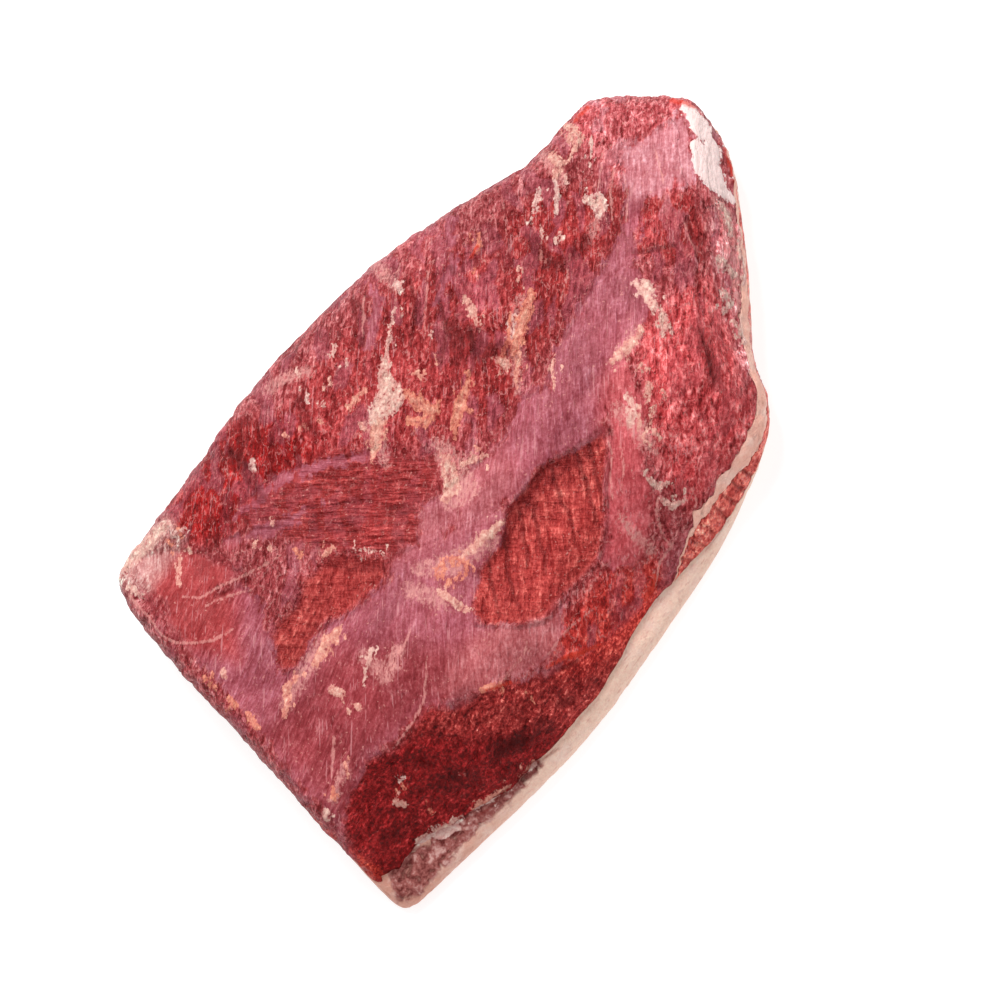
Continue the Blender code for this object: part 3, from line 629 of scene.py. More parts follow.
def make_grid():
    """Points and faces of the whole piece's outer surface, and the row of its side that each point is in."""
    nx, ny = TOP_CELLS
    s, t = np.meshgrid(np.linspace(-1, 1, nx + 1), np.linspace(-1, 1, ny + 1))
    s, t = s.ravel(), t.ravel()
    number = np.arange((nx + 1) * (ny + 1)).reshape(ny + 1, nx + 1)
    corners = [number[:-1, :-1], number[:-1, 1:], number[1:, 1:], number[1:, :-1]]
    quads = [np.stack(corners, -1).reshape(-1, 4)]
    loop = np.concatenate([number[0, :-1], number[:-1, -1], number[-1, :0:-1], number[:0:-1, 0]])
    all_s, all_t, all_row = [s], [t], [np.zeros(len(s))]
    previous = loop
    count = len(s)
    for step in range(1, (ROWS - 1) * SIDE_STEPS + 1):
        fresh = count + np.arange(len(loop))
        count += len(loop)
        all_s.append(s[loop])
        all_t.append(t[loop])
        all_row.append(np.full(len(loop), step / SIDE_STEPS))
        quads.append(np.stack([previous, fresh, np.roll(fresh, -1), np.roll(previous, -1)], -1))
        previous = fresh
    s, t, row = np.concatenate(all_s), np.concatenate(all_t), np.concatenate(all_row)
    xy, z = outside(crowded(s), crowded(t), row)
    co = np.column_stack([xy, z])
    faces = [tuple(f) for f in np.concatenate(quads).tolist()]
    faces.append(tuple(previous[::-1].tolist()))
    return co, faces, row


def vertex_normals(co, faces):
    mesh = bpy.data.meshes.new("shape")
    mesh.from_pydata(co.tolist(), [], faces)
    mesh.update()
    normals = np.empty(len(co) * 3, np.float32)
    mesh.vertex_normals.foreach_get("vector", normals)
    bpy.data.meshes.remove(mesh)
    return normals.reshape(-1, 3).astype(float)


def along_fibre(co, turn):
    """Coordinates along and across the fibre for a direction in plan, in degrees."""
    c, s = math.cos(math.radians(turn)), math.sin(math.radians(turn))
    return co[:, 0] * c + co[:, 1] * s, -co[:, 0] * s + co[:, 1] * c


co, faces, row = make_grid()
normals = vertex_normals(co, faces)
if normals[len(row) // 3, 2] < 0:
    faces = [f[::-1] for f in faces]
    normals = -normals
px = to_photo(co)
# Faces turned less than this towards the camera take no marks from the photo.
SEEN_FROM = 0.08
unseen = normals @ -FORWARD < SEEN_FROM
cx, cy, height = co.T
free = smooth_step(0.2 * MM, 2.5 * MM, height) * np.where(row < ROWS - 1, 1, 0)


def inside_of(*outlines):
    """How far inside the nearest outline each point is, in the photo's pixels."""
    field = np.full(len(co), OUTSIDE)
    for corners in outlines:
        field = np.maximum(field, polygon_distance(px, corners))
    return np.where(unseen, OUTSIDE, field)


def inside_strokes(strokes):
    """How far inside the nearest stroke each point is, in the photo's pixels."""
    field = np.full(len(co), FAR_AWAY)
    for points in strokes:
        stroke_distance(px, points, field)
    return np.where(unseen, FAR_AWAY, field)


def zone_colours(ground, zones):
    """The colours of zones, each laid over the ones before it."""
    laid = np.tile(ground, (len(co), 1))
    for corners, picked, softness in zones:
        share = smooth_step(-softness, softness, inside_of(corners))
        laid = blend(laid, linear(*picked), share[:, None])
    return laid


strokes = inside_strokes(SKIN_STROKES)
skin = np.maximum(inside_of(*SKIN), np.where(strokes > FAR_AWAY + 1, strokes, OUTSIDE))
# On the sides that the photo doesn't show, the film comes in broad patches.
patches = 16 * (lumps(cx + 0.3 * height, cy + 0.3 * height, 42 * MM, 21) - 0.1)
skin = np.where(unseen, patches, skin)
pocket = inside_of(POCKET_A, POCKET_B)
torn = smooth_step(-5, 5, inside_of(TORN))
crumbly = smooth_step(-5, 5, inside_of(DARK_SIDE))
crosswise = smooth_step(-8, 8, inside_of(RIDGES))
oblique = smooth_step(430, 330, px[:, 0]) * smooth_step(545, 600, px[:, 1]) * ~unseen

# Flecks of fat, each with crumbs about it.
MEAN_TONE = 0.4
CRUMB_SPACING = 9
fleck = np.full(len(co), FAR_AWAY)
tone = np.full(len(co), MEAN_TONE)
draw = np.random.default_rng(5)
for shade, points in FLECKS:
    before = fleck.copy()
    stroke_distance(px, points, fleck)
    for (x0, y0, w0), (x1, y1, w1) in zip(points, points[1:]):
        for _ in range(int(1 + math.hypot(x1 - x0, y1 - y0) / CRUMB_SPACING)):
            share, angle, out = draw.random(), draw.random() * 2 * math.pi, draw.random()
            reach = w0 + 2 + 7 * out * out
            x = x0 + (x1 - x0) * share + reach * math.cos(angle)
            y = y0 + (y1 - y0) * share + reach * math.sin(angle)
            small = 0.7 + 1.3 * draw.random()
            stroke_distance(px, [(x, y - small, small), (x, y + small, small * 0.8)], fleck)
    tone = np.where(fleck > before, shade, tone)
fleck[unseen] = FAR_AWAY
crack, vein, groove, painted_curl_highlight = (inside_strokes(strokes) for strokes in (CRACKS, VEINS, GROOVES, PAINTED_CURL_HIGHLIGHTS))
# The second of these is painted shade, with some darker patches of the muscle.
veil, painted_shade_and_dark_patches = (smooth_step(-7, 5, inside_strokes(strokes)) for strokes in (VEILS, SHADES))

cut_face = smooth_step(-195.5 * MM, -198.5 * MM, cx - 0.045 * np.abs(cy)) * (1 - torn)
colour = blend(zone_colours(MUSCLE, ZONES), CUT_FACE, cut_face[:, None])
film_colour = zone_colours(FILM, FILM_ZONES)
for seed, size, depth in ((31, 26 * MM, 0.14), (32, 11 * MM, 0.10)):
    patchy = 1 + depth * lumps(cx, cy + height, size, seed)[:, None]
    colour = colour * patchy
    film_colour = film_colour * patchy

# Relief: heights in millimetres along the normal.
FIBRE_TURN, SLANTED_TURN, LEVEL_TURN = 45, 18, -50
FIBRE_RISE, SOFT_RISE, RIDGE_RISE, ROUGH_RISE = 0.26, 0.30, 0.6, 1.0
POCKET_DEPTH, FILM_RISE, FLECK_RISE, VEIL_RISE, EDGE_RISE = 1.3, 0.25, 0.6, 0.10, 0.35
# The lean's facets, large and small: step from one to the next, tilt, groove between and its width.
LARGE_FACETS = 0.35, 0.75, 0.5, 0.3
SMALL_FACETS = 0.2, 0.42, 0.3, 0.35
fibre_ways = [along_fibre(co, turn) for turn in (FIBRE_TURN, SLANTED_TURN, LEVEL_TURN)]
(a_long, a_cross), (b_long, b_cross), (c_long, c_cross) = fibre_ways
fibre, fibre_b = (0.6 * lumps(length / 6, across + height, 3.4 * MM, seed)
                  + 0.4 * lumps(length / 3, across + height, 2.0 * MM, seed + 1)
                  for length, across, seed in ((a_long, a_cross, 41), (b_long, b_cross, 43)))
warp = 3.0 * MM * lumps(cx, cy, 15 * MM, 45)
fibre_c = (0.55 * np.sin((c_cross + warp) / (5.2 * MM) * 2 * np.pi)
           + 0.7 * lumps(c_long / 4, c_cross, 2.8 * MM, 46))
grain = blend(blend(fibre, fibre_b, oblique), fibre_c, crosswise)
shift = [0.5 * lumps(cx, cy + height, 9 * MM, seed) for seed in (51, 52)]
facets = cells(a_long / (15 * MM) + shift[0], (a_cross + 0.8 * height) / (6.5 * MM) + shift[1], 71)
small_facets = cells(a_long / (6.5 * MM) + shift[1], (a_cross + height) / (3.4 * MM) + shift[0], 81)
patch_value = facets[1]
in_pocket = smooth_step(-4, 4, pocket)
on_film = smooth_step(-4, 8, skin)
craggy = (1 - 0.8 * on_film) * (1 - in_pocket) * (1 - 0.6 * crosswise)
relief = FIBRE_RISE * grain * (1 - 0.6 * on_film)
relief += SOFT_RISE * lumps(cx, cy + height, 6 * MM, 47)
for found, form in ((facets, LARGE_FACETS), (small_facets, SMALL_FACETS)):
    (inside, value, slope), (step, tilt, depth, width) = found, form
    relief += craggy * (step * value + tilt * slope - depth * smooth_step(width, 0, inside))
level_warp = 2.5 * MM * lumps(cx, cy, 13 * MM, 53)
level_ripple = np.sin((a_long + level_warp) / (5.6 * MM) * 2 * np.pi)
level_ripple = level_ripple + lumps(a_long, a_cross / 4, 2.6 * MM, 54)
relief += in_pocket * (0.2 * level_ripple + 0.75 * lumps(a_long / 5, a_cross + 0.5 * warp, 3.6 * MM, 55))
relief += RIDGE_RISE * grain * crosswise
relief -= POCKET_DEPTH * smooth_step(-2.5, 4.5, pocket)
relief += FILM_RISE * smooth_step(-3, 3, skin)
rough = (0.6 * lumps(cx + 0.4 * cy, height * 1.6, 5.5 * MM, 48)
         + 0.5 * lumps(cx, height * 1.4 + 0.5 * cy, 3.1 * MM, 49))
relief += crumbly * (ROUGH_RISE * rough - 0.2)
relief *= 1 - 0.6 * smooth_step(-1, 3, fleck) * (tone < 0)
relief += FLECK_RISE * smooth_step(-1.0, 2.2, fleck) * (1 + 0.9 * (tone >= 0) * lumps(cx, cy, 3 * MM, 56))
for field, low, high, rise in ((crack, -1.5, 2.5, -1.1), (vein, -1.5, 1.5, 0.2), (groove, -2.0, 1.6, -1.2),
                               (painted_curl_highlight, -1.5, 1.5, 0.7)):
    relief += rise * smooth_step(low, high, field)
relief += VEIL_RISE * veil
on_lean = smooth_step(0.5 * MM, 3 * MM, height - fat_thickness(cx))
relief *= blend(0.35, 1, on_lean)
relief += torn * (0.6 * rough + 0.4 * lumps(cx, cy, 3 * MM, 57))
relief += EDGE_RISE * lumps(cx + cy, height * 2, 7 * MM, 50) * unseen * (height > 2 * MM)
co = co + normals * (relief * MM * free)[:, None]
co[:, 2] = np.maximum(co[:, 2], 0)

FIELDS = {
    "skin": skin * PIXEL,
    "pocket": pocket * PIXEL,
    "fleck": fleck * PIXEL,
    "crack": crack * PIXEL,
    "vein": vein * PIXEL,
    "groove": groove * PIXEL,
    "painted_curl_highlight": painted_curl_highlight * PIXEL,
    "tone": tone,
    "veil": veil,
    "crumbly": crumbly,
    "oblique": oblique,
    "crosswise": crosswise,
    "patch": craggy * patch_value,
    "lilac": craggy * smooth_step(0.45, 0.7, np.sin(37 * patch_value)),
    "shade": painted_shade_and_dark_patches,
    "torn": torn,
}

# Base colours are what the photo shows, less the sheen, times the share of light that the surface gets back.
LEVEL = np.array([0.90, 0.80, 0.81])
HAZE, DARKEST = 0.010, 0.002

shown = bpy.data.collections.new("brisket")
helpers = bpy.data.collections.new("helpers")
for collection in (shown, helpers):
    bpy.context.scene.collection.children.link(collection)


def add_mesh(name, co, faces, collection):
    mesh = bpy.data.meshes.new(name)
    mesh.from_pydata(co, [], faces)
    mesh.update()
    obj = bpy.data.objects.new(name, mesh)
    collection.objects.link(obj)
    return obj


whole = add_mesh("whole", co.tolist(), faces, helpers)


def from_layered_edge(x, y):
    edge = np.vstack([CURVES["near"][1], CURVES["tip"][1]])[::4]
    return np.sqrt((x[:, None] - edge[:, 0]) ** 2 + (y[:, None] - edge[:, 1]) ** 2).min(axis=1)


def layer_top(x, y, layers):
    swollen = smooth_step(*SWELLING_SLOPE, x)
    thickness = POINT_THICKNESS - POINT_THINNING * swollen
    thickness = thickness + (layers - 1) * (SEAM_THICKNESS + SEAM_SWELLING * swollen)
    grown = smooth_step(*LAYER_START, x) * smooth_step(*LAYER_END_Y, y)
    grown = grown * (1 - TIP_LOSS * smooth_step(*LAYER_THINNING, x))
    inwards = 1 - (from_layered_edge(x, y) / LAYER_DEPTH) ** LAYER_TAPER
    return np.maximum(thickness * grown * inwards, -ENDED) - ENDED * (1 - grown)


def make_cutter(name, cells, corners, layers, lift):
    bm = bmesh.new()
    bmesh.ops.create_grid(bm, x_segments=cells[0], y_segments=cells[1], size=1)
    flat = np.array([vert.co for vert in bm.verts])
    x_low, x_high, y_low, y_high = (value * MM for value in corners)
    x = blend(x_low, x_high, (flat[:, 0] + 1) / 2)
    y = blend(y_low, y_high, (flat[:, 1] + 1) / 2)
    waves = 0.35 * lumps(x, x * 0, 5 * MM, 61) + 0.2 * lumps(x, x * 0, 2.2 * MM, 62)
    z = fat_thickness(x) + lift + waves * MM
    if layers:
        swell = np.interp(x / MM, *zip(*SEAM_SWELLS)) if layers == 2 else 0
        ragged = (0.5 * lumps(x, y, 5 * MM, 65 + layers) + swell) * MM
        z = z + layer_top(x, y, layers) + ragged * smooth_step(*LAYER_START, x)
    for vert, *place in zip(bm.verts, x, y, z):
        vert.co = place
    bmesh.ops.triangulate(bm, faces=bm.faces)
    for item in bmesh.ops.extrude_edge_only(bm, edges=[e for e in bm.edges if e.is_boundary])["geom"]:
        if isinstance(item, bmesh.types.BMVert):
            item.co.z = CUTTER_FLOOR
    made = bmesh.ops.contextual_create(bm, geom=[e for e in bm.edges if e.is_boundary])["faces"]
    bmesh.ops.triangulate(bm, faces=made)
    bmesh.ops.recalc_face_normals(bm, faces=bm.faces)
    mesh = bpy.data.meshes.new(name)
    bm.to_mesh(mesh)
    bm.free()
    cutter = bpy.data.objects.new(name, mesh)
    helpers.objects.link(cutter)
    return cutter


tree = KDTree(len(co))
for number, point in enumerate(co):
    tree.insert(point, number)
tree.balance()
NEIGHBOURS = 3
LUMPY_SHARE = 0.85


def paint(mesh, lumpy):
    """Gives each vertex the values of the nearest points of the whole surface."""
    found, weights = [], []
    for vert in mesh.vertices:
        nearby = tree.find_n(vert.co, NEIGHBOURS)
        found.append([n for _, n, _ in nearby])
        weights.append([1 / (d + 1e-6) ** 2 for _, _, d in nearby])
    found, weights = np.array(found), np.array(weights)
    weights /= weights.sum(axis=1, keepdims=True)
    for name, values in FIELDS.items():
        layer = mesh.attributes.new(name, "FLOAT", "POINT")
        layer.data.foreach_set("value", (values[found] * weights).sum(axis=1).astype(np.float32))
    for name, values in (("muscle", colour), ("film", film_colour)):
        layer = mesh.attributes.new(name, "FLOAT_COLOR", "POINT")
        mixed = (values[found] * weights[..., None]).sum(axis=1)
        if lumpy:
            mixed = blend(mixed, POINT_LUMPS, LUMPY_SHARE)
        mixed = np.maximum(mixed - HAZE, DARKEST) * LEVEL
        opaque = np.column_stack([mixed, np.ones(len(mixed))])
        layer.data.foreach_set("color", opaque.astype(np.float32).ravel())


def carve(name, *steps):
    obj = whole.copy()
    obj.data = whole.data.copy()
    shown.objects.link(obj)
    for operation, cutter in steps:
        modifier = obj.modifiers.new(cutter.name, "BOOLEAN")
        modifier.operation = operation
        modifier.object = cutter
        modifier.solver = "MANIFOLD"
    graph = bpy.context.evaluated_depsgraph_get()
    mesh = bpy.data.meshes.new_from_object(obj.evaluated_get(graph))
    obj.modifiers.clear()
    obj.data = mesh
    obj.name = mesh.name = name
    paint(mesh, name == "lean_point_skin")
    mesh.shade_smooth()
    mesh.materials.clear()
    return obj


fat = make_cutter("below_fat_top", *BASE_SHEET, 0, 0)
above_fat = make_cutter("below_gap_on_fat", *BASE_SHEET, 0, GAP)
point = make_cutter("below_point_top", *LAYER_SHEET, 1, GAP)
above_point = make_cutter("below_gap_on_point", *LAYER_SHEET, 1, 2 * GAP)
seam = make_cutter("below_seam_top", *LAYER_SHEET, 2, 2 * GAP)
above_seam = make_cutter("below_gap_on_seam", *LAYER_SHEET, 2, 3 * GAP)
pieces = {
    "fat_cap": carve("fat_cap_skin", ("INTERSECT", fat)),
    "lean_flat": carve("lean_flat_skin", ("DIFFERENCE", above_fat), ("DIFFERENCE", above_seam)),
    "fat_seam": carve("fat_seam_skin", ("DIFFERENCE", above_fat), ("INTERSECT", seam),
                      ("DIFFERENCE", above_point)),
    "lean_point": carve("lean_point_skin", ("DIFFERENCE", above_fat), ("INTERSECT", point)),
}
for helper in list(helpers.objects):
    bpy.data.objects.remove(helper)
for node, obj in pieces.items():
    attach(obj, "root")
    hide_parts(node)


# Materials.
class Value:
    """A number that a material works out at each point. It adds and multiplies like any other."""

    def __init__(self, shader, socket):
        self.shader = shader
        self.socket = socket

    def __add__(self, other):
        return self.shader.math("ADD", self, other)

    def __sub__(self, other):
        return self.shader.math("SUBTRACT", self, other)

    def __rsub__(self, other):
        return self.shader.math("SUBTRACT", other, self)

    def __mul__(self, other):
        return self.shader.math("MULTIPLY", self, other)

    __radd__ = __add__
    __rmul__ = __mul__


class Shader:
    """Short names for building a material's nodes."""

    def __init__(self, name):
        self.material = bpy.data.materials.new(name)
        self.material.use_nodes = True
        self.nodes = self.material.node_tree.nodes
        self.links = self.material.node_tree.links
        self.surface = self.nodes["Principled BSDF"]
        self.place = self.nodes.new("ShaderNodeTexCoord").outputs["Object"]

    def put(self, socket, value):
        if isinstance(value, Value):
            value = value.socket
        if isinstance(value, bpy.types.NodeSocket):
            self.links.new(value, socket)
        else:
            socket.default_value = value

    def surface_input(self, name, value):
        self.put(self.surface.inputs[name], value)

    def attribute(self, name):
        node = self.nodes.new("ShaderNodeAttribute")
        node.attribute_name = name
        return node.outputs["Color"] if name in ("muscle", "film") else Value(self, node.outputs["Fac"])

    def math(self, operation, a, b):
        node = self.nodes.new("ShaderNodeMath")
        node.operation = operation
        self.put(node.inputs[0], a)
        self.put(node.inputs[1], b)
        return Value(self, node.outputs[0])

    def largest(self, a, b):
        return self.math("MAXIMUM", a, b)

    def step(self, value, low, high):
        """0 below low and 1 above high; low may be the larger."""
        node = self.nodes.new("ShaderNodeMapRange")
        node.interpolation_type = "SMOOTHSTEP"
        flipped = low > high
        self.put(node.inputs["Value"], value)
        node.inputs["From Min"].default_value = min(low, high)
        node.inputs["From Max"].default_value = max(low, high)
        node.inputs["To Min"].default_value = 1 if flipped else 0
        node.inputs["To Max"].default_value = 0 if flipped else 1
        return Value(self, node.outputs["Result"])

    def vector_math(self, operation, *values):
        node = self.nodes.new("ShaderNodeVectorMath")
        node.operation = operation
        for socket, value in zip(node.inputs, values):
            self.put(socket, value)
        return node.outputs[0]

    def stretched(self, turn, sizes):
        """The place turned in plan by so many degrees and divided by three sizes in millimetres."""
        node = self.nodes.new("ShaderNodeMapping")
        node.vector_type = "POINT"
        node.inputs["Rotation"].default_value = (0, 0, -math.radians(turn))
        self.put(node.inputs["Vector"], self.place)
        return self.vector_math("MULTIPLY", node.outputs[0], tuple(1 / (size * MM) for size in sizes))

    def noise_node(self, vector, scale, detail):
        node = self.nodes.new("ShaderNodeTexNoise")
        self.put(node.inputs["Vector"], vector)
        node.inputs["Scale"].default_value = scale
        node.inputs["Detail"].default_value = detail
        return node

    def noise(self, turn, sizes, detail=2.0, roughness=0.5, distortion=0.0):
        node = self.noise_node(self.stretched(turn, sizes), 1.0, detail)
        node.inputs["Roughness"].default_value = roughness
        node.inputs["Distortion"].default_value = distortion
        return Value(self, node.outputs["Fac"])

    def cells(self, turn, sizes, bend):
        """Irregular cells: a value of each, and the distance from a cell's edge."""
        stretched = self.stretched(turn, sizes)
        wander = self.noise_node(stretched, 1.6, 3.0)
        bent = self.vector_math("MULTIPLY_ADD", wander.outputs["Color"], (bend, bend, bend), stretched)
        found = []
        for feature, output in (("F1", "Color"), ("DISTANCE_TO_EDGE", "Distance")):
            node = self.nodes.new("ShaderNodeTexVoronoi")
            node.feature = feature
            node.inputs["Scale"].default_value = 1.0
            self.put(node.inputs["Vector"], bent)
            found.append(node.outputs[output])
        apart = self.nodes.new("ShaderNodeSeparateColor")
        self.put(apart.inputs[0], found[0])
        return Value(self, apart.outputs[0]), Value(self, found[1])

    def mix(self, share, a, b):
        node = self.nodes.new("ShaderNodeMix")
        node.data_type = "RGBA"
        self.put(node.inputs["Factor"], share)
        self.put(node.inputs[6], a)
        self.put(node.inputs[7], b)
        return node.outputs[2]

    def mix_value(self, share, a, b):
        node = self.nodes.new("ShaderNodeMix")
        node.data_type = "FLOAT"
        self.put(node.inputs[0], share)
        self.put(node.inputs[2], a)
        self.put(node.inputs[3], b)
        return Value(self, node.outputs[0])

    def bump(self, height, distance):
        node = self.nodes.new("ShaderNodeBump")
        node.inputs["Strength"].default_value = 1.0
        node.inputs["Distance"].default_value = distance
        self.put(node.inputs["Height"], height)
        return node.outputs[0]

    def finish(self):
        self.surface.inputs["Metallic"].default_value = 0.0
        self.surface.inputs["Specular IOR Level"].default_value = 0.22
        self.surface.inputs["IOR"].default_value = 1.4
        self.surface.inputs["Subsurface Weight"].default_value = 0.04
        self.surface.inputs["Subsurface Radius"].default_value = (1.0, 0.35, 0.25)
        self.surface.inputs["Subsurface Scale"].default_value = 1.2 * MM
        return self.material


def tint(r, g, b):
    """A colour seen in the photo, less what the sheen adds to it."""
    return (*(np.maximum(linear(r, g, b) - HAZE, DARKEST) * LEVEL), 1.0)


def fibres(sh, long_size, cross_size):
    """Noise drawn out along the fibre, whose direction changes over the piece."""
    sizes = (long_size, cross_size, cross_size * 1.3)
    straight, slanted, level = (sh.noise(turn, sizes) for turn in (FIBRE_TURN, SLANTED_TURN, LEVEL_TURN))
    both_ways = sh.mix_value(sh.attribute("oblique"), straight, slanted)
    return sh.mix_value(sh.attribute("crosswise"), both_ways, level)


def centred(*pairs):
    """The sum of noises, each taken from its middle and given its weight."""
    terms = [(noise - 0.5) * weight for noise, weight in pairs]
    return sum(terms[1:], terms[0])


def varied(sh, colour_socket, value, red_power, pale_power):
    """Paler and pinker where value is above zero, deeper and redder below."""
    node = sh.nodes.new("ShaderNodeCombineXYZ")
    for socket, power in zip(node.inputs, (red_power, pale_power, pale_power * 0.95)):
        sh.put(socket, sh.math("POWER", math.exp(power), value))
    return sh.vector_math("MULTIPLY", colour_socket, node.outputs[0])


def lean_material(name):
    sh = Shader(name)
    broad = fibres(sh, 15, 2.6)
    fine = fibres(sh, 7, 1.1)
    speck = sh.noise(0, (1.5, 1.5, 1.5), 3.0, 0.65)
    clot = sh.noise(20, (3.4, 3.0, 3.0), 3.0, 0.6, 0.6)
    blotch = sh.noise(30, (11, 9, 9))
    ragged = sh.noise(45, (6, 3.2, 3.2), 4.0, 0.6)
    ripple = sh.noise(-53, (16, 2.4, 2.4), 2.0, 0.55, 0.4)
    dent = sh.noise(45, (5.5, 2.1, 2.1), 3.0, 0.6, 0.5)
    side_grain = sh.noise(6, (5.0, 2.0, 1.4), 3.0, 0.6, 0.3)
    cell, cell_edge = sh.cells(45, (11, 5, 5), 0.9)
    skin, crumbly, crosswise, facet, veil, tone = (
        sh.attribute(field) for field in ("skin", "crumbly", "crosswise", "patch", "veil", "tone"))
    in_pocket = sh.step(sh.attribute("pocket"), -0.5, 1.5)
    plain = (1 - sh.largest(in_pocket, crumbly)) * (1 - 0.6 * crosswise)

    # The muscle: its colour by zone, with fibres, facets and dents, ripples in the pockets, and clots.
    # The same noises shape the bump below, so their paler and darker parts are partly painted light and shade
    # of the relief, partly the muscle's own tone.
    value = centred((broad, 1.5), (fine, 1.7), (speck, 1.6), (blotch, 0.8)) + 0.17 * facet
    value += plain * centred((clot, 1.7), (cell, 0.36), (dent, 2.8))
    value += crosswise * centred((ripple, 2.7), (broad, -0.9))
    value += in_pocket * centred((ripple, 1.0), (dent, 2.5), (fine, -0.8))
    value += crumbly * centred((clot, 2.2), (side_grain, 3.4), (speck, 2.4), (broad, -1.0))
    red = varied(sh, sh.attribute("muscle"), value, 0.85, 1.9)

    # Silverskin: a mauve film with ragged edges, and single facets that it still covers.
    edge = skin + centred((ragged, 14.0), (broad, 4.0), (blotch, 10.0), (cell, 1.6)) + 1.6 * facet
    film = sh.largest(sh.step(edge, -1.4, 1.4), 0.6 * sh.attribute("lilac") * (1 - crumbly))
    # As with the muscle, this tone is partly painted light and shade of the relief.
    value = centred((broad, 1.2), (fine, 1.5), (speck, 1.4), (clot, 0.8), (blotch, 0.8))
    base = sh.mix(0.88 * film, red, varied(sh, sh.attribute("film"), value, 0.65, 1.4))

    # Pale threads along the fibre, dark dents with painted shade, pale shreds partly painted highlight, and
    # pale lines between the facets.
    strand = sh.step(sh.noise(44, (28, 1.0, 1.5), 2.0, 0.5, 0.3) + 0.5 * (blotch - 0.5), 0.64, 0.74)
    strand = strand * (1 - sh.largest(crumbly, crosswise)) * (1 - in_pocket)
    bare = plain * (1 - 0.8 * film)
    between = sh.step(cell_edge, 0.07, 0.01) * sh.step(clot, 0.46, 0.58)
    base = sh.mix(0.5 * strand, base, tint(222, 158, 160))
    # The dent noise also shapes the bump: its dark is painted shade in the hollows, its pale partly a painted
    # highlight on the raised parts.
    base = sh.mix(0.65 * sh.step(dent, 0.41, 0.33) * bare, base, tint(112, 26, 28))
    base = sh.mix(0.5 * sh.step(dent, 0.60, 0.70) * bare, base, tint(224, 146, 142))
    base = sh.mix(0.45 * between * bare, base, tint(222, 156, 152))

    # Loose grains of fat all over, then the veils, the flecks and the veins.
    grit = sh.noise(20, (1.7, 1.7, 1.7), 3.0, 0.65)
    shred = sh.noise(45, (4.0, 1.5, 1.5), 4.0, 0.65)
    clump = sh.noise(45, (3.6, 2.6, 2.6), 2.0, 0.6)
    grains = sh.step(0.7 * grit + 0.3 * clot + 0.07 * veil, 0.60, 0.655)
    base = sh.mix(0.7 * grains * (1 - 0.8 * crumbly), base, tint(220, 154, 144))
    veil_share = sh.step(0.62 * veil + centred((shred, 1.8), (grit, 1.0)), 0.22, 0.85)
    base = sh.mix(0.75 * veil_share * sh.step(veil, 0.02, 0.3), base, tint(222, 160, 154))
    snow = sh.step(tone, -0.1, -0.4)
    hole = 0.7 * sh.step(clump + 0.5 * (grit - 0.5), 0.40, 0.33) * (1 - snow)
    fleck_edge = sh.attribute("fleck") + centred((grit, 2.6), (shred, 2.0), (clump, 4.0))
    fleck_share = sh.step(fleck_edge, -0.2, 0.5) * (1 - hole)
    # Each fleck's paler core is partly a painted highlight on its raised middle.
    core = sh.step(fleck_edge, 0.5, 2.8) * (0.5 - 0.3 * tone)
    fleck_tone = sh.mix(tone, tint(224, 182, 172), tint(220, 134, 112))
    fleck_tone = sh.mix(core, fleck_tone, tint(240, 208, 188))
    fleck_tone = varied(sh, fleck_tone, centred((grit, 1.4), (clump, 1.8), (speck, 0.8)), 0.5, 1.1)
    fleck_tone = sh.mix(snow, fleck_tone, tint(255, 240, 234))
    base = sh.mix(0.92 * fleck_share, base, fleck_tone)
    vein_share = sh.step(sh.attribute("vein") + centred((shred, 2.2), (clump, 1.6)), -0.3, 0.4)
    base = sh.mix(0.6 * vein_share, base, tint(230, 164, 156))

    # Painted shade darkens the cracks and grooves, painted highlights brighten the curls, and the painted
    # shade strokes are deeper and redder.
    wander = centred((clot, 1.6), (speck, 1.2))
    for field, low, high, strength, painted_light_and_shade in (("crack", -0.9, 0.6, 0.55, tint(104, 18, 20)),
                                              ("groove", -0.9, 0.8, 0.65, tint(112, 26, 24)),
                                              ("painted_curl_highlight", -0.5, 0.8, 0.8, tint(214, 66, 48))):
        base = sh.mix(strength * sh.step(sh.attribute(field) + wander, low, high), base, painted_light_and_shade)
    shade_share = sh.step(sh.attribute("shade") + 1.4 * (clot - 0.5), 0.15, 0.85)
    sh.surface_input("Base Color", varied(sh, base, -0.5 * shade_share, 1.0, 1.7))

    height = 0.5 * broad + 0.25 * fine + 0.16 * speck
    height += plain * sh.step(skin, 2.0, -2.0) * (0.5 * clot + 1.2 * dent)
    height += crumbly * (0.5 * clot + 0.7 * side_grain)
    height += 0.6 * sh.largest(in_pocket, crosswise) * ripple + 0.9 * in_pocket * dent
    sh.surface_input("Normal", sh.bump(height * (1 - 0.6 * snow), 2.2 * MM))
    sh.surface_input("Roughness", 0.32 + 0.24 * speck)
    return sh.finish()


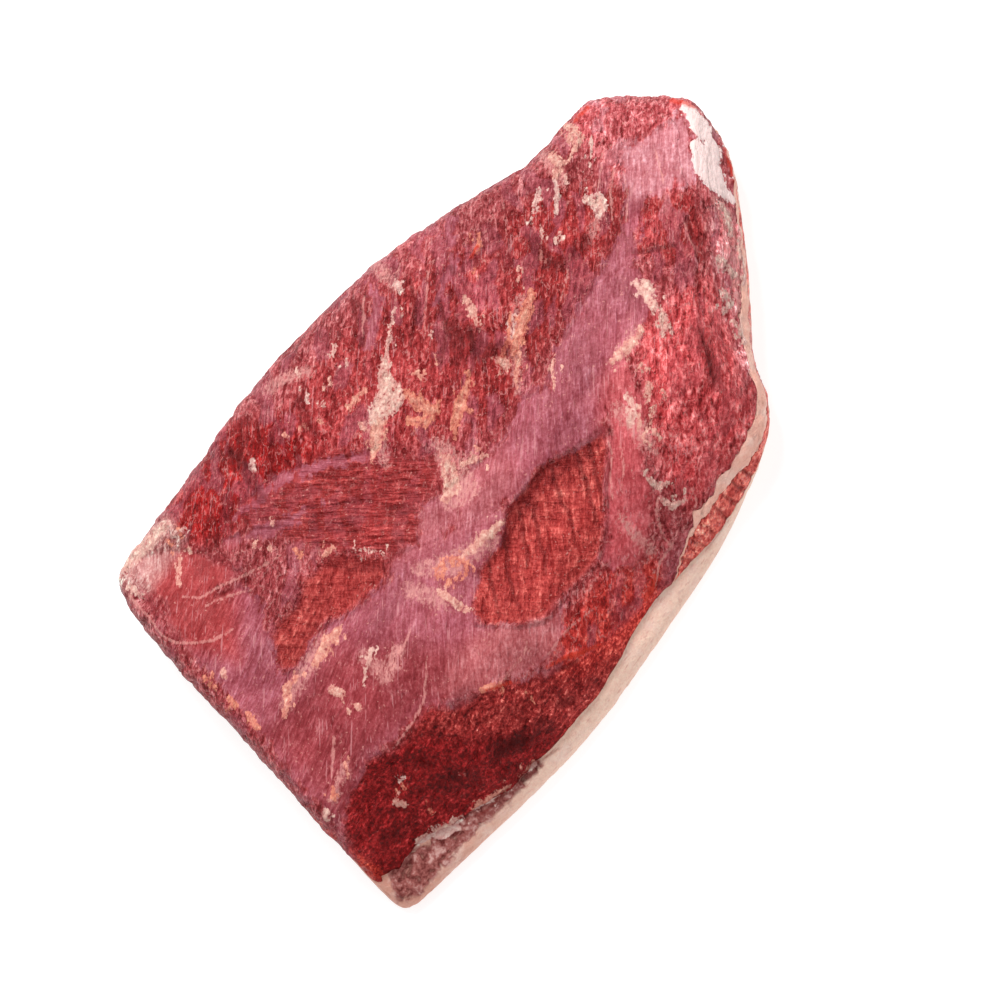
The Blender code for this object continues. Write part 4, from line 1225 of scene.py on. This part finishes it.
def fat_material(name, far, near):
    """Fat whose colour goes from one tint far from the cut end to another near it."""
    sh = Shader(name)
    blotch = sh.noise(10, (12, 9, 7), 3.0, 0.55)
    grit = sh.noise(0, (2.4, 2.4, 1.6), 3.0, 0.6)
    speck = sh.noise(0, (0.9, 0.9, 0.9), 2.0, 0.6)
    scratch = sh.noise(4, (7, 2.0, 0.9))
    clot = sh.noise(20, (5.5, 5.0, 4.4), 3.0, 0.55, 0.5)
    place = sh.nodes.new("ShaderNodeSeparateXYZ")
    sh.put(place.inputs[0], sh.place)
    base = sh.mix(sh.step(place.outputs["X"], -0.09, -0.19), far, near)
    base = sh.mix(0.5 * sh.step(blotch, 0.45, 0.7), base, tint(252, 230, 216))

    # The torn corner: rags of fat with dark meat and painted shade between them.
    rag = 0.6 * clot + 0.4 * grit
    rags = sh.mix(sh.step(rag, 0.38, 0.54), tint(98, 36, 34), tint(164, 100, 94))
    rags = sh.mix(sh.step(rag, 0.52, 0.64), rags, tint(210, 166, 158))
    base = sh.mix(sh.step(sh.attribute("torn") + 2.0 * (clot - 0.5), 0.15, 0.85), base, rags)
    base = sh.mix(0.4 * sh.step(scratch, 0.60, 0.70), base, tint(212, 150, 138))
    base = varied(sh, base, centred((grit, 0.9), (speck, 0.7)), 0.2, 0.5)
    lumpy_white = varied(sh, tint(226, 190, 180)[:3], centred((grit, 2.2), (clot, 1.6)), 0.5, 1.2)
    base = sh.mix(sh.step(sh.attribute("fleck") + 2.0 * (grit - 0.5), -0.2, 0.4), base, lumpy_white)
    # Painted shade in the crevices that reach the fat.
    painted_crack_shade = sh.step(sh.attribute("crack") + 1.6 * (speck - 0.5), -0.4, 0.8)
    sh.surface_input("Base Color", sh.mix(0.5 * painted_crack_shade, base, tint(150, 60, 54)))
    sh.surface_input("Normal", sh.bump(0.6 * grit + 0.3 * speck + 0.1 * scratch, 1.2 * MM))
    sh.surface_input("Roughness", 0.38 + 0.2 * speck)
    return sh.finish()


lean = lean_material("raw_lean")
SEAM_TINT = tint(250, 200, 180)
pieces["lean_flat"].data.materials.append(lean)
pieces["lean_point"].data.materials.append(lean)
pieces["fat_cap"].data.materials.append(fat_material("raw_fat", tint(255, 226, 204), tint(228, 174, 154)))
pieces["fat_seam"].data.materials.append(fat_material("raw_seam", SEAM_TINT, SEAM_TINT))


# Floor, light and camera.
FLOOR = 3.0
FLOOR_DROP = 0.4 * MM
FLOOR_GLOW = 0.72
WORLD_STRENGTH = 0.69
KEY_PLACE, KEY_SIZE, KEY_POWER = (0.36, 0.70, 1.12), 0.6, 17.5
floor = add_mesh("floor", [(-FLOOR, -FLOOR, 0), (FLOOR, -FLOOR, 0), (FLOOR, FLOOR, 0), (-FLOOR, FLOOR, 0)],
                 [(0, 1, 2, 3)], bpy.context.scene.collection)
floor.location.z = -FLOOR_DROP
paper = bpy.data.materials.new("paper")
paper.use_nodes = True
paper_inputs = paper.node_tree.nodes["Principled BSDF"].inputs
paper_inputs["Base Color"].default_value = (0.4, 0.4, 0.4, 1)
paper_inputs["Emission Color"].default_value = (1, 1, 1, 1)
paper_inputs["Emission Strength"].default_value = FLOOR_GLOW
paper_inputs["Roughness"].default_value = 0.9
floor.data.materials.append(paper)

world = bpy.data.worlds.new("studio")
bpy.context.scene.world = world
world.use_nodes = True
world.node_tree.nodes["Background"].inputs["Color"].default_value = (1, 1, 1, 1)
world.node_tree.nodes["Background"].inputs["Strength"].default_value = WORLD_STRENGTH

key_data = bpy.data.lights.new("key", "AREA")
key_data.shape = "SQUARE"
key_data.size = KEY_SIZE
key_data.energy = KEY_POWER
key = bpy.data.objects.new("key", key_data)
bpy.context.scene.collection.objects.link(key)
key.location = KEY_PLACE
key.rotation_euler = (Vector((0, 0, 0.03)) - Vector(KEY_PLACE)).to_track_quat("-Z", "Y").to_euler()

camera_data = bpy.data.cameras.new("photo_camera")
camera_data.lens = LENS
camera_data.sensor_width = SENSOR
camera_data.clip_start = 0.05
camera_data.clip_end = 20
camera = bpy.data.objects.new("photo_camera", camera_data)
bpy.context.scene.collection.objects.link(camera)
pose = np.eye(4)
pose[:3, :3] = np.column_stack([IMAGE_RIGHT, IMAGE_UP, -FORWARD])
pose[:3, 3] = EYE
camera.matrix_world = Matrix(pose.tolist())
bpy.context.scene.camera = camera
bpy.context.scene.view_settings.view_transform = "Standard"
